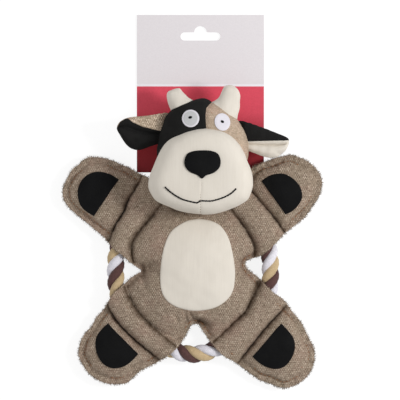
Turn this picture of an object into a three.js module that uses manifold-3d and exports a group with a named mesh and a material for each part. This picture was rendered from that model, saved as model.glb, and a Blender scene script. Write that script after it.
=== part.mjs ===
// A flat stuffed dog toy in the shape of a cow, lying on its back.
// A twisted rope ring runs through a sewn sleeve in each of its four limbs, and the stuffed head
// lies over the chest, with the shop's hang card behind it.
// Millimetres. +Z points up out of the belly and +Y towards the head.
import * as THREE from "three";
import { mergeVertices } from "three/addons/utils/BufferGeometryUtils.js";
import Module from "manifold-3d";

const wasm = await Module();
wasm.setup();

// Fits and cloth
const fitGap = 0.3; // between pieces that touch
const patchGap = 0.6; // between a sewn patch and the round cloth under it
const clothThickness = 1.2;
const seamThickness = 0.9; // one layer of cloth at a seam
const feltThickness = 1.2;
const arcSag = 0.6; // how far the flats of a round seam fall inside it
const fringeWidth = 5; // frayed seam allowance outside the stitching
const tableFlat = 0.5; // how much of the back is pressed flat by the table
const cutOverrun = 1; // a cut runs this far past what it cuts

// Rope ring and the sleeves that it runs through
const ropeDiameter = 14;
const ringRadius = 63;
const ringCentre = new THREE.Vector2(-0.8, -4);
const ropePlay = 0.6;
const sleeveWall = 1.4;
const sleeveMargin = 2.6; // flat cloth between the sleeve's bulge and its stitching
const foldThickness = 0.2; // cloth pinched thin on both sides of a paw's fold line
const joinTapeThickness = 0.6;
const joinTapeLength = 26;
const joinTapeAngle = 88; // degrees round the ring, behind the head
const joinTapeShares = [-1, -0.33, 0.33, 1];
const ropeSides = 12;
const ropeSteps = 44;
const sleeveTurns = [6, 30, 60, 90, 120, 150, 174]; // degrees over the rope, from the paw's side
const sleeveAcrossShares = [-1, -0.67, -0.33, 0, 0.33, 0.67, 1];

// Trunk
const trunkSwell = 17; // height of the belly over the seam
const neckEdge = 53.5; // trunk's edge at the neck, from the ring's centre
const neckAngle = 91;
const neckHalfAngle = 24;
const notches = [
  { angle: 181, depth: 9, halfAngle: 11 },
  { angle: 273, depth: 8, halfAngle: 16 },
  { angle: 4, depth: 11, halfAngle: 11 },
];
const trunkSteps = 60;
const domeShares = [0.4, 0.68, 0.88, 1]; // rings of the trunk's swell, from its middle outwards
const notchPower = 6; // how much the notches are kept to the trunk's outer rings
const waddingEdgeShare = 0.96;

// Squeaker inside the trunk
const squeakerDiameter = 34;
const squeakerHeight = 12;
const squeakerWall = 1.2;
const squeakerRound = 3;
const reedDiameter = 6.4;
const reedFlange = 10;
const reedLength = 6.5;
const reedAirHole = 2;

// Belly patch
const bellyWidth = 60;
const bellyLength = 73.5;
const bellyCentre = new THREE.Vector2(3.8, 4.8).add(ringCentre);
const bellyTilt = -3.5; // degrees
const bellyEggShare = 0.08;
const bellySquareness = 2.25;
const bellyShares = [0.36, 0.66, 0.86, 1];

// Limbs: the angle of each, how far it is set towards the head, the length of its paw and the start
// of its pad from the outer seam, and how high its paw lies over the table
const limbWidth = 62;
const armShift = 8.4; // arms are set towards the head by this much
const padWidth = 35;
const padLength = 25;
const pawSwell = 9.5;
const limbs = [
  { name: "left_arm", angle: 145.5, shift: -armShift, length: 50.9, padStart: 14.4, lift: 2.2 },
  { name: "right_arm", angle: 37.4, shift: armShift, length: 53.4, padStart: 11.4, lift: 2.2 },
  { name: "left_leg", angle: 225, shift: 2, length: 44.9, padStart: 3.9, lift: 0.5 },
  { name: "right_leg", angle: -41.4, shift: -1, length: 49.9, padStart: 5.9, lift: 0.5 },
];
const pawSquareness = 3;
const pawTaperShare = 0.1;
const pawRingShares = [0.35, 0.62, 0.82, 0.93];
const padSquareness = 2.7;
const padMiddleShare = 0.42; // of the pad's length, from its straight edge

// Head: the neck's place on the trunk, and the skull's and the muzzle's places in plan
const neckCentre = new THREE.Vector2(6.2, 54).add(ringCentre);
const neckDiameter = 20;
const neckTop = 33;
const neckBottom = 14;
const skull = {
  x: neckCentre.x + 1.5,
  y: neckCentre.y + 49.5,
  width: 75,
  height: 69,
  depth: 49,
  squareness: 2.4,
};
const muzzle = {
  x: neckCentre.x - 0.2,
  y: neckCentre.y + 25,
  width: 84,
  height: 68.5,
  depth: 46,
  lift: 18,
  squareness: 2.4,
};
const foreheadSeamX = skull.x + 2.5;
const chinSeamX = muzzle.x + 0.4;
const backSeamShare = 0.42; // height of the seam round the back of the head, share of its depth
const headRoundness = 0.9;
const headSteps = 24;
const headRows = 11;

// Hang card and the pins that hold it
const cardWidth = 102;
const cardHeight = 126.5;
const cardThickness = 0.5;
const cardCentreX = skull.x - 1.8;
const cardBottomY = skull.y - 24.6;
const slotWidth = 32;
const slotHeight = 6.6;
const slotBump = 10;
const slotBumpRise = 5;
const slotFromTop = 17.3; // centre of the slot's bar below the card's top edge
const pinHeadDiameter = 5;
const pinHeadThickness = 0.7;
const pinStemDiameter = 1.2;
const pinBarbDiameter = 2.6;
const pinBarbThickness = 0.9;
const pinSpacing = 34;
const pinY = skull.y - 7.5;

// Face: the nose's place as shares of the muzzle's half sizes, the eyes' of the skull's
const noseWidth = 29;
const noseLength = 23;
const noseSwell = 2.6;
const noseTaperShare = 0.32;
const noseShares = [0.45, 0.8, 1];
const nosePlaceShares = { x: 0.043, y: 0.219 };
const eyeThickness = 1;
const eyes = [
  { name: "left", xShare: -0.256, yShare: 0.525, diameter: 13.8, pupilRight: -0.3, pupilUp: 1.2 },
  { name: "right", xShare: 0.413, yShare: 0.455, diameter: 12.8, pupilRight: 0.4, pupilUp: 0.3 },
];
const pupilDiameter = 3.2;
const pupilThickness = 0.7;

// Horns: cloth cones with blunt ends, whose roots lie inside the skull's outline
const hornBaseDiameter = 21;
const hornZShare = 0.46; // share of the skull's depth
const hornProfileShares = [
  { radius: 1, along: 0 },
  { radius: 0.714, along: 0.45 },
  { radius: 0.45, along: 0.8 },
  { radius: 0.343, along: 0.95 },
];
const horns = [
  { name: "left_horn", xShare: -0.384, yShare: 0.652, length: 21.8, lean: 15.7 },
  { name: "right_horn", xShare: 0.403, yShare: 0.681, length: 23.7, lean: -18.7 },
];

// Ears: a front and a back face of cloth with a little wadding
const earLength = 33;
const earWidth = 26;
const earSwell = 2.4;
const earGap = 0.4; // root to the side of the head
const earMiddleShare = 0.42;
const earShares = [0.45, 0.78];
const ears = [
  { name: "left_ear", angle: 177, rootShare: 0.2464 },
  { name: "right_ear", angle: -9, rootShare: 0.1449 },
];

// Heights that follow from the sizes above
const ropeRadius = ropeDiameter / 2;
const boreRadius = ropeRadius + ropePlay;
const bulgeRadius = boreRadius + sleeveWall;
const seamZ = bulgeRadius + fitGap;
const innerSeam = ringRadius - bulgeRadius - sleeveMargin;
const outerSeam = ringRadius + bulgeRadius + sleeveMargin;
const trunkRadius = innerSeam - arcSag - fitGap;
const cardZ = pinHeadThickness + fitGap;
const skullBottom = cardZ + cardThickness + fitGap;
const skullCentre = new THREE.Vector3(skull.x, skull.y, skullBottom + skull.depth / 2);
const muzzleCentre = new THREE.Vector3(muzzle.x, muzzle.y, muzzle.lift + muzzle.depth / 2);
const noseCentre = formPlace(muzzle, nosePlaceShares.x, nosePlaceShares.y);

const toy = new THREE.Group();

function cloth(color, roughness = 0.95) {
  return new THREE.MeshStandardMaterial({ color, roughness, metalness: 0 });
}
const colours = {
  burlap: 0x988670,
  canvas: 0xe4dccf,
  black: 0x1c1c1c,
  rope: 0xdcd4c8,
  wadding: 0xf4f4f2,
  greyFelt: 0xc8c8ca,
  whiteFelt: 0xeae8ee,
  card: 0xc83c4b,
  plastic: 0xf0f0f0,
};

function addNode(name, geometry, material, group = toy) {
  geometry.computeVertexNormals();
  const mesh = new THREE.Mesh(geometry, material);
  mesh.name = name;
  group.add(mesh);
  return mesh;
}

// A place in plan on a stuffed form, from shares of its half width and half height.
function formPlace(size, xShare, yShare) {
  return new THREE.Vector2(
    size.x + (xShare * size.width) / 2,
    size.y + (yShare * size.height) / 2,
  );
}

function point(flat, z) {
  return new THREE.Vector3(flat.x, flat.y, z);
}

// A closed body through rows of points. A row of one point is a pole, and joinEnds closes a tube wall.
function closedSkin(rows, joinEnds = false) {
  const places = [];
  const corners = [];
  const starts = [];
  for (const row of rows) {
    starts.push(places.length / 3);
    for (const p of row) places.push(p.x, p.y, p.z);
  }
  const bands = joinEnds ? rows.length : rows.length - 1;
  for (let i = 0; i < bands; i++) {
    const j = (i + 1) % rows.length;
    const count = Math.max(rows[i].length, rows[j].length);
    for (let k = 0; k < count; k++) {
      const next = (k + 1) % count;
      const a = starts[i] + (rows[i].length > 1 ? k : 0);
      const b = starts[i] + (rows[i].length > 1 ? next : 0);
      const c = starts[j] + (rows[j].length > 1 ? next : 0);
      const d = starts[j] + (rows[j].length > 1 ? k : 0);
      if (rows[i].length > 1) corners.push(a, b, c);
      if (rows[j].length > 1) corners.push(a, c, d);
    }
  }
  const geometry = new THREE.BufferGeometry();
  geometry.setAttribute("position", new THREE.Float32BufferAttribute(places, 3));
  geometry.setIndex(corners);
  return facingOut(geometry);
}

// Turns every face round if the body is inside out.
function facingOut(geometry) {
  const index = geometry.index.array;
  const place = geometry.attributes.position;
  const a = new THREE.Vector3();
  const b = new THREE.Vector3();
  const c = new THREE.Vector3();
  let volume = 0;
  for (let i = 0; i < index.length; i += 3) {
    a.fromBufferAttribute(place, index[i]);
    b.fromBufferAttribute(place, index[i + 1]);
    c.fromBufferAttribute(place, index[i + 2]);
    volume += a.dot(b.cross(c));
  }
  if (volume < 0) {
    for (let i = 0; i < index.length; i += 3) {
      [index[i + 1], index[i + 2]] = [index[i + 2], index[i + 1]];
    }
  }
  return geometry;
}

function toSolid(geometry) {
  const bare = geometry.clone();
  bare.deleteAttribute("normal");
  bare.deleteAttribute("uv");
  const merged = mergeVertices(bare);
  return new wasm.Manifold(
    new wasm.Mesh({
      numProp: 3,
      vertProperties: merged.attributes.position.array,
      triVerts: new Uint32Array(merged.index.array),
    }),
  );
}

function toGeometry(solid) {
  const mesh = solid.getMesh();
  const geometry = new THREE.BufferGeometry();
  geometry.setAttribute("position", new THREE.BufferAttribute(mesh.vertProperties, 3));
  geometry.setIndex(new THREE.BufferAttribute(mesh.triVerts, 1));
  return geometry;
}

// Height share of stuffed cloth at a share of the way from its middle to its stitching.
function swellShare(share, power = 2.5) {
  return Math.sqrt(Math.max(0, 1 - share ** power));
}

// Share of the way from the centre to the outline at which a point lies, measured along its own ray.
function shareOf(place, centre, outline) {
  const out = place.clone().sub(centre);
  if (out.length() === 0) return 0;
  for (let k = 0; k < outline.length; k++) {
    const start = outline[k].clone().sub(centre);
    const edge = outline[(k + 1) % outline.length].clone().sub(outline[k]);
    const turn = out.cross(edge);
    const along = start.cross(out) / turn;
    const share = turn / start.cross(edge);
    if (along >= 0 && along <= 1 && share > 0) return share;
  }
  return 0;
}

function between(centre, outline, share) {
  return outline.map((p) => new THREE.Vector2().lerpVectors(centre, p, share));
}

function ringAt(outline, z) {
  return outline.map((p) => point(p, z));
}

// A closed superellipse in its own frame.
function roundOutline(width, height, squareness, steps, eggShare = 0) {
  const outline = [];
  for (let k = 0; k < steps; k++) {
    const angle = (2 * Math.PI * k) / steps;
    const across = Math.cos(angle);
    const along = Math.sin(angle);
    const x = Math.sign(across) * Math.abs(across) ** (2 / squareness);
    const y = Math.sign(along) * Math.abs(along) ** (2 / squareness);
    outline.push(new THREE.Vector2((width / 2) * x * (1 - eggShare * y), (height / 2) * y));
  }
  return outline;
}

function turned(outline, degrees, centre) {
  const angle = THREE.MathUtils.degToRad(degrees);
  const origin = new THREE.Vector2(0, 0);
  return outline.map((p) => p.clone().rotateAround(origin, angle).add(centre));
}

// A thin piece that follows the surface under it, thicker in the middle by its own swell.
function patchOn(heightAt, outline, centre, thickness, shares, swell = 0) {
  const under = [[point(centre, heightAt(centre) + patchGap)]];
  const over = [[point(centre, heightAt(centre) + patchGap + thickness + swell)]];
  for (const share of shares) {
    const ring = between(centre, outline, share);
    under.push(ring.map((p) => point(p, heightAt(p) + patchGap)));
    const rise = thickness + swell * swellShare(share);
    over.push(ring.map((p) => point(p, heightAt(p) + patchGap + rise)));
  }
  return closedSkin([...under, ...over.reverse()]);
}

// A patch, cut clear of the form that it lies on.
function cutClear(patch, form) {
  return toGeometry(toSolid(patch).subtract(form));
}

// How far the trunk's edge is drawn in at an angle, by the notches, or let out towards the neck.
function drawnIn(degrees, inset) {
  let depth = 0;
  for (const notch of notches) {
    const halfAngle = notch.halfAngle + THREE.MathUtils.radToDeg(inset / trunkRadius);
    const away = Math.abs(((degrees - notch.angle + 540) % 360) - 180) / halfAngle;
    if (away < 1) depth += (notch.depth + inset) * Math.cos((Math.PI / 2) * away) ** 2;
  }
  const neckAway = Math.abs(degrees - neckAngle) / neckHalfAngle;
  if (neckAway < 1) {
    depth -= (neckEdge - trunkRadius - inset) * Math.cos((Math.PI / 2) * neckAway) ** 2;
  }
  return depth;
}

// The trunk's outline at a share of its size. The notches only draw in its outer rings.
function trunkRing(share, inset = 0, margin = 0) {
  const outline = [];
  for (let k = 0; k < trunkSteps; k++) {
    const degrees = (360 * k) / trunkSteps;
    const notch = drawnIn(degrees, inset) * share ** notchPower;
    const radius = trunkRadius * share - notch - margin * share;
    const angle = THREE.MathUtils.degToRad(degrees);
    const out = new THREE.Vector2(Math.cos(angle), Math.sin(angle));
    outline.push(out.multiplyScalar(radius).add(ringCentre));
  }
  return outline;
}

const trunkFringe = trunkRing(1);

function trunkTopAt(place) {
  const away = place.distanceTo(ringCentre);
  const turn = THREE.MathUtils.radToDeg(Math.atan2(place.y - ringCentre.y, place.x - ringCentre.x));
  const depth = drawnIn((turn + 360) % 360, fringeWidth);
  let low = 0;
  let high = 1;
  for (let k = 0; k < 20; k++) {
    const share = (low + high) / 2;
    if (trunkRadius * share - depth * share ** notchPower < away) low = share;
    else high = share;
  }
  return seamZ + seamThickness + trunkSwell * swellShare(low);
}

// The room that the front of the trunk takes up, down to the table, with the usual gap over it.
function chestRoom() {
  const rows = [[point(ringCentre, seamZ + seamThickness + trunkSwell + fitGap)]];
  for (const share of domeShares) {
    const z = seamZ + seamThickness + trunkSwell * swellShare(share) + fitGap;
    rows.push(ringAt(trunkRing(share, fringeWidth), z));
  }
  rows.push(ringAt(trunkFringe, seamZ + seamThickness + fitGap));
  rows.push(ringAt(trunkFringe, 0));
  rows.push([point(ringCentre, 0)]);
  return toSolid(closedSkin(rows));
}

// One cloth face of the trunk: a shell that swells away from the seam, with its frayed edge.
function trunkFace(side, swell) {
  const level = (z) => seamZ + side * z;
  const keep = (z) => Math.max(0, z);
  const flat = side < 0 ? keep : (z) => z;
  const inside = side < 0 ? (z) => Math.max(clothThickness, z) : (z) => z;
  const rows = [[point(ringCentre, flat(level(seamThickness + swell)))]];
  for (const share of domeShares) {
    const z = flat(level(seamThickness + swell * swellShare(share)));
    rows.push(ringAt(trunkRing(share, fringeWidth), z));
  }
  rows.push(ringAt(trunkFringe, level(seamThickness)));
  rows.push(ringAt(trunkFringe, level(fitGap / 2)));
  for (const share of [...domeShares].reverse()) {
    const rise = Math.max(fitGap / 2, (seamThickness + swell - clothThickness) * swellShare(share));
    rows.push(ringAt(trunkRing(share, fringeWidth, clothThickness), inside(level(rise))));
  }
  rows.push([point(ringCentre, inside(level(seamThickness + swell - clothThickness)))]);
  return closedSkin(rows);
}

// Wadding of one half of the trunk, with half of the pocket that the squeaker lies in.
function trunkWadding(side, swell, pocketDepth) {
  const inset = clothThickness + fitGap;
  const level = (z) => seamZ + side * z;
  const above = side < 0 ? (z) => Math.max(inset, z) : (z) => z;
  const top = seamThickness + swell - inset;
  const rows = [[point(ringCentre, above(level(top)))]];
  for (const share of domeShares.slice(0, -1)) {
    const z = above(level(top * swellShare(share)));
    rows.push(ringAt(trunkRing(share, fringeWidth, 2 * inset), z));
  }
  rows.push(ringAt(trunkRing(waddingEdgeShare, fringeWidth, 3 * inset), level(fitGap)));
  const wide = squeakerDiameter / 2 + fitGap;
  const slim = wide - squeakerRound;
  const pocket = roundOutline(2, 2, 2, trunkSteps);
  const circle = (radius) => pocket.map((p) => p.clone().multiplyScalar(radius).add(ringCentre));
  rows.push(ringAt(circle(wide), level(fitGap)));
  rows.push(ringAt(circle(wide), level(squeakerHeight / 2 - squeakerRound + fitGap)));
  rows.push(ringAt(circle(slim), level(pocketDepth)));
  rows.push([point(ringCentre, level(pocketDepth))]);
  return closedSkin(rows);
}

// Squeaker: a hollow plastic disc with an air reed plugged into its top.
const squeakerBottom = seamZ - squeakerHeight / 2;
const squeakerTop = seamZ + squeakerHeight / 2;

function lathe(profile, steps, centre) {
  const points = profile.map(([radius, z]) => new THREE.Vector2(radius, z));
  const geometry = new THREE.LatheGeometry(points, steps);
  geometry.rotateX(Math.PI / 2);
  geometry.translate(centre.x, centre.y, 0);
  return facingOut(geometry);
}

function squeakerBladder() {
  const outer = squeakerDiameter / 2;
  const inner = outer - squeakerWall;
  const neck = reedDiameter / 2 + fitGap;
  return lathe(
    [
      [neck, squeakerTop],
      [outer - squeakerRound, squeakerTop],
      [outer, squeakerTop - squeakerRound],
      [outer, squeakerBottom + squeakerRound],
      [outer - squeakerRound, squeakerBottom],
      [0, squeakerBottom],
      [0, squeakerBottom + squeakerWall],
      [inner - squeakerRound, squeakerBottom + squeakerWall],
      [inner, squeakerBottom + squeakerWall + squeakerRound],
      [inner, squeakerTop - squeakerWall - squeakerRound],
      [inner - squeakerRound, squeakerTop - squeakerWall],
      [neck, squeakerTop - squeakerWall],
      [neck, squeakerTop],
    ],
    24,
    ringCentre,
  );
}

function squeakerReed() {
  const stem = reedDiameter / 2;
  const flange = reedFlange / 2;
  const air = reedAirHole / 2;
  const seat = squeakerTop + fitGap;
  return lathe(
    [
      [air, seat + squeakerWall],
      [flange, seat + squeakerWall],
      [flange, seat],
      [stem, seat],
      [stem, seat - reedLength],
      [air, seat - reedLength],
      [air, seat + squeakerWall],
    ],
    16,
    ringCentre,
  );
}

// The rope: one closed ring, slightly slimmer where the join is taped.
function ropePoint(angle, around, radius) {
  const reach = ringRadius + radius * Math.cos(around);
  return new THREE.Vector3(
    ringCentre.x + reach * Math.cos(angle),
    ringCentre.y + reach * Math.sin(angle),
    seamZ + radius * Math.sin(around),
  );
}

function ropeRow(angle, radius) {
  const row = [];
  for (let k = 0; k < ropeSides; k++) {
    row.push(ropePoint(angle, (2 * Math.PI * k) / ropeSides, radius));
  }
  return row;
}

function ropeRing() {
  const rows = [];
  const joinAngle = THREE.MathUtils.degToRad(joinTapeAngle);
  const halfTape = joinTapeLength / 2 / ringRadius;
  const slim = ropeRadius - joinTapeThickness - fitGap;
  const shoulder = halfTape + joinTapeThickness / ringRadius;
  const step = (2 * Math.PI - 2 * shoulder) / ropeSteps;
  for (const share of joinTapeShares) rows.push(ropeRow(joinAngle + share * halfTape, slim));
  for (let k = 0; k <= ropeSteps; k++) {
    rows.push(ropeRow(joinAngle + shoulder + k * step, ropeRadius));
  }
  return closedSkin(rows, true);
}

function joinTape() {
  const joinAngle = THREE.MathUtils.degToRad(joinTapeAngle);
  const halfTape = joinTapeLength / 2 / ringRadius - fitGap / ringRadius;
  const inner = ropeRadius - joinTapeThickness;
  const wrap = (radius) =>
    joinTapeShares.map((share) => ropeRow(joinAngle + share * halfTape, radius));
  const outside = wrap(ropeRadius);
  const inside = wrap(inner);
  return closedSkin([...outside, ...inside.reverse()], true);
}

// A limb's own frame: u runs out along the limb from the ring's centre, v across it.
function fromLimb(limb, u, v) {
  const angle = THREE.MathUtils.degToRad(limb.angle);
  return new THREE.Vector2(
    ringCentre.x + u * Math.cos(angle) - v * Math.sin(angle),
    ringCentre.y + u * Math.sin(angle) + v * Math.cos(angle),
  );
}

// A sleeve: cloth sewn down on both sides of the rope. Its bore is exactly the ring's path.
// At the head its end follows a line from the ring's centre, and away from it the limb's side.
function ropeSleeve(limb) {
  const outside = [];
  const inside = [];
  for (const share of sleeveAcrossShares) {
    const v = limb.shift + (share * limbWidth) / 2;
    const towardsHead = Math.max(0, share * Math.sign(limb.shift)) * (Math.abs(limb.shift) / armShift);
    const row = sleeveRow(limb, v, (towardsHead * v) / outerSeam);
    outside.push(row.outer);
    inside.push(row.bore);
  }
  return closedSkin([...outside, ...inside.reverse()], true);
}

// One row of a sleeve lies on a line that crosses the outer seam at v and leans by its slope.
function sleeveRow(limb, v, slope) {
  const outer = [];
  const bore = [];
  const start = v - slope * outerSeam;
  const onRing = (reach) => {
    const half = slope * start;
    const square = 1 + slope * slope;
    return (-half + Math.sqrt(half * half - square * (start * start - reach * reach))) / square;
  };
  const place = (u) => fromLimb(limb, u, start + slope * u);
  for (const side of [1, -1]) {
    const ordered = side > 0 ? sleeveTurns : [...sleeveTurns].reverse();
    for (const turn of ordered) {
      const angle = THREE.MathUtils.degToRad(turn);
      const across = Math.cos(angle);
      const rise = side * Math.sin(angle);
      const boreU = onRing(ringRadius + boreRadius * across);
      bore.push(point(place(boreU), seamZ + boreRadius * rise));
      let u = onRing(ringRadius + bulgeRadius * across);
      let z = seamZ + bulgeRadius * rise;
      if (turn === sleeveTurns[0]) {
        u = outerSeam - fitGap / 2;
        z = seamZ + (side * foldThickness) / 2;
      } else if (turn === sleeveTurns[sleeveTurns.length - 1]) {
        u = onRing(innerSeam);
        z = seamZ + side * seamThickness;
      }
      outer.push(point(place(u), z));
    }
  }
  return { outer, bore };
}

// A paw's outline: a straight fold line and a blunt round end.
function pawOutline(limb, inset) {
  const half = limbWidth / 2 - inset;
  const start = outerSeam + fitGap / 2;
  const length = limb.length - inset - fitGap / 2;
  const outline = [];
  const steps = 18;
  for (let k = 0; k <= steps; k++) {
    const angle = Math.PI * (k / steps - 0.5);
    const along = Math.cos(angle) ** (2 / pawSquareness);
    const across = Math.sign(angle) * Math.abs(Math.sin(angle)) ** (2 / pawSquareness);
    const v = limb.shift + half * (1 - pawTaperShare * along) * across;
    outline.push(fromLimb(limb, start + length * along, v));
  }
  const sideSteps = 5;
  for (let k = 1; k < sideSteps; k++) {
    outline.push(fromLimb(limb, start, limb.shift + half * (1 - (2 * k) / sideSteps)));
  }
  return outline;
}

function pawCentre(limb) {
  return fromLimb(limb, outerSeam + limb.length / 2, limb.shift);
}

function pawShare(share) {
  return (1 - share ** 2.2) ** 0.62;
}

function pawTopAt(limb, stitch, place) {
  const share = Math.min(1, shareOf(place, pawCentre(limb), stitch));
  return seamZ + seamThickness + pawSwell * pawShare(share);
}

function paw(limb) {
  const centre = pawCentre(limb);
  const fringe = pawOutline(limb, 0);
  const stitch = pawOutline(limb, fringeWidth);
  const foldMiddle = fromLimb(limb, outerSeam, limb.shift);
  const outwards = foldMiddle.clone().sub(fromLimb(limb, 0, limb.shift)).normalize();
  const edge = (outline, side) =>
    outline.map((p) => {
      const onFold = p.clone().sub(foldMiddle).dot(outwards) < fitGap;
      return point(p, seamZ + (side * (onFold ? foldThickness : seamThickness)) / 2);
    });
  const rows = [[point(centre, seamZ + seamThickness + pawSwell)]];
  for (const share of pawRingShares) {
    const z = seamZ + seamThickness + pawSwell * pawShare(share);
    rows.push(ringAt(between(centre, stitch, share), z));
  }
  rows.push(edge(stitch, 1));
  rows.push(edge(fringe, 1));
  rows.push(edge(fringe, -1));
  rows.push(edge(stitch, -1));
  const underSwell = seamZ - seamThickness - limb.lift;
  for (const share of [...pawRingShares].reverse()) {
    const z = seamZ - seamThickness - underSwell * pawShare(share);
    rows.push(ringAt(between(centre, stitch, share), z));
  }
  rows.push([point(centre, limb.lift)]);
  return closedSkin(rows);
}

function pawPad(limb) {
  const stitch = pawOutline(limb, fringeWidth);
  const start = outerSeam + limb.padStart;
  const outline = [];
  const steps = 14;
  for (let k = 0; k <= steps; k++) {
    const angle = Math.PI * (k / steps - 0.5);
    const along = Math.cos(angle) ** (2 / padSquareness);
    const across = Math.sign(angle) * Math.abs(Math.sin(angle)) ** (2 / padSquareness);
    outline.push(fromLimb(limb, start + padLength * along, limb.shift + (padWidth / 2) * across));
  }
  const sideSteps = 4;
  for (let k = 1; k < sideSteps; k++) {
    const v = limb.shift + (padWidth / 2) * (1 - (2 * k) / sideSteps);
    outline.push(fromLimb(limb, start, v));
  }
  const middle = fromLimb(limb, start + padLength * padMiddleShare, limb.shift);
  const pad = patchOn((p) => pawTopAt(limb, stitch, p), outline, middle, feltThickness, [0.55, 1]);
  return cutClear(pad, toSolid(paw(limb)).translate([0, 0, fitGap]));
}

// A stuffed form: superellipse in plan, round from front to back.
function stuffedForm(centre, size, shrink) {
  const outline = roundOutline(
    size.width - 2 * shrink,
    size.height - 2 * shrink,
    size.squareness,
    headSteps,
  );
  const half = size.depth / 2 - shrink;
  const rows = [[new THREE.Vector3(centre.x, centre.y, centre.z + half)]];
  for (let i = 1; i < headRows; i++) {
    const angle = Math.PI * (0.5 - i / headRows);
    const share = Math.cos(angle) ** headRoundness;
    const z = centre.z + half * Math.sin(angle);
    rows.push(
      outline.map((p) => new THREE.Vector3(centre.x + p.x * share, centre.y + p.y * share, z)),
    );
  }
  rows.push([new THREE.Vector3(centre.x, centre.y, centre.z - half)]);
  return toSolid(closedSkin(rows));
}

// Height of a stuffed form's front over a place in plan.
function formTopAt(centre, size, place) {
  const x = Math.abs(place.x - centre.x) / (size.width / 2);
  const y = Math.abs(place.y - centre.y) / (size.height / 2);
  const out = (x ** size.squareness + y ** size.squareness) ** (1 / size.squareness);
  const angle = Math.acos(Math.min(1, out) ** (1 / headRoundness));
  return centre.z + (size.depth / 2) * Math.sin(angle);
}

function block(x, y, z, width, height, depth) {
  const geometry = new THREE.BoxGeometry(width, height, depth);
  geometry.translate(x, y, z);
  return toSolid(geometry);
}

function upright(place, radius, bottom, top, steps = 24) {
  const geometry = new THREE.CylinderGeometry(radius, radius, top - bottom, steps);
  geometry.rotateX(Math.PI / 2);
  geometry.translate(place.x, place.y, (top + bottom) / 2);
  return toSolid(geometry);
}

const pinPlaces = [-0.5, 0.5].map((share) => new THREE.Vector2(skull.x + share * pinSpacing, pinY));

function tagPin(place) {
  const head = pinHeadDiameter / 2;
  const stem = pinStemDiameter / 2;
  const barb = pinBarbDiameter / 2;
  const barbZ = pinBarbZ(place);
  return lathe(
    [
      [0, 0],
      [head, 0],
      [head, pinHeadThickness],
      [stem, pinHeadThickness],
      [stem, barbZ],
      [barb, barbZ],
      [stem, barbZ + pinBarbThickness],
      [0, barbZ + pinBarbThickness],
    ],
    12,
    place,
  );
}

// The barb sits just inside the cloth of the head's back.
function pinBarbZ(place) {
  const front = formTopAt(skullCentre, skull, place);
  return 2 * skullCentre.z - front + 2 * clothThickness;
}

function buildHead() {
  const skullOut = stuffedForm(skullCentre, skull, 0);
  const skullIn = stuffedForm(skullCentre, skull, clothThickness);
  const skullCore = stuffedForm(skullCentre, skull, clothThickness + fitGap);
  const muzzleOut = stuffedForm(muzzleCentre, muzzle, 0);
  const muzzleRoom = stuffedForm(muzzleCentre, muzzle, -fitGap);
  const muzzleIn = stuffedForm(muzzleCentre, muzzle, clothThickness);
  const muzzleCore = stuffedForm(muzzleCentre, muzzle, clothThickness + fitGap);
  const hollow = skullIn.add(muzzleIn);
  const neckRoom = upright(neckCentre, neckDiameter / 2 + fitGap, 0, neckTop + fitGap);
  let pinRooms = null;
  for (const place of pinPlaces) {
    const room = upright(place, pinStemDiameter / 2 + fitGap, -cutOverrun, pinBarbZ(place), 8);
    const barbRoom = upright(
      place,
      pinBarbDiameter / 2 + fitGap,
      pinBarbZ(place) - fitGap,
      pinBarbZ(place) + pinBarbThickness + fitGap,
      8,
    );
    const both = room.add(barbRoom);
    pinRooms = pinRooms ? pinRooms.add(both) : both;
  }
  const away = neckRoom.add(pinRooms);

  const far = skull.width + muzzle.width;
  const backSeamZ = skullBottom + skull.depth * backSeamShare;
  const shell = skullOut.subtract(muzzleRoom).subtract(hollow);
  const inFront = block(skull.x, skull.y, backSeamZ + fitGap / 2 + far / 2, 2 * far, 2 * far, far);
  const behind = block(skull.x, skull.y, backSeamZ - fitGap / 2 - far / 2, 2 * far, 2 * far, far);
  const leftOf = (x) => block(x - fitGap / 2 - far / 2, skull.y, 0, far, 2 * far, 4 * far);
  const rightOf = (x) => block(x + fitGap / 2 + far / 2, skull.y, 0, far, 2 * far, 4 * far);
  const skin = muzzleOut.subtract(hollow).subtract(away);
  const forehead = shell.intersect(inFront);
  const pieces = {
    forehead_black_panel: [forehead.intersect(leftOf(foreheadSeamX)), colours.black],
    forehead_tan_panel: [forehead.intersect(rightOf(foreheadSeamX)), colours.burlap],
    head_back_panel: [shell.intersect(behind).subtract(away), colours.burlap],
    muzzle_left_panel: [skin.intersect(leftOf(chinSeamX)), colours.canvas],
    muzzle_right_panel: [skin.intersect(rightOf(chinSeamX)), colours.canvas],
    head_wadding: [skullCore.add(muzzleCore).subtract(away), colours.wadding],
  };
  for (const [name, [solid, colour]] of Object.entries(pieces)) {
    addNode(name, toGeometry(solid), cloth(colour));
  }
}

// The neck stands on the chest, goes over the rope and up into the head, which turns on it.
function neck() {
  const post = upright(neckCentre, neckDiameter / 2, neckBottom, neckTop);
  const ropeRoom = toSolid(
    new THREE.TorusGeometry(ringRadius, boreRadius, ropeSides, ropeSteps).translate(
      ringCentre.x,
      ringCentre.y,
      seamZ,
    ),
  );
  return toGeometry(post.subtract(chestRoom()).subtract(ropeRoom));
}

// Nose: a padded shield, broad at the top and pointed at the bottom.
function nose() {
  const outline = [];
  const steps = 20;
  for (let k = 0; k < steps; k++) {
    const angle = (2 * Math.PI * k) / steps;
    const up = Math.sin(angle);
    const narrow = 1 - noseTaperShare * (1 - up);
    outline.push(
      new THREE.Vector2(
        noseCentre.x + (noseWidth / 2) * Math.cos(angle) * narrow,
        noseCentre.y + (noseLength / 2) * up,
      ),
    );
  }
  const surface = (p) => formTopAt(muzzleCentre, muzzle, p);
  const pad = patchOn(surface, outline, noseCentre, feltThickness, noseShares, noseSwell);
  return cutClear(pad, stuffedForm(muzzleCentre, muzzle, -fitGap));
}

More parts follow.
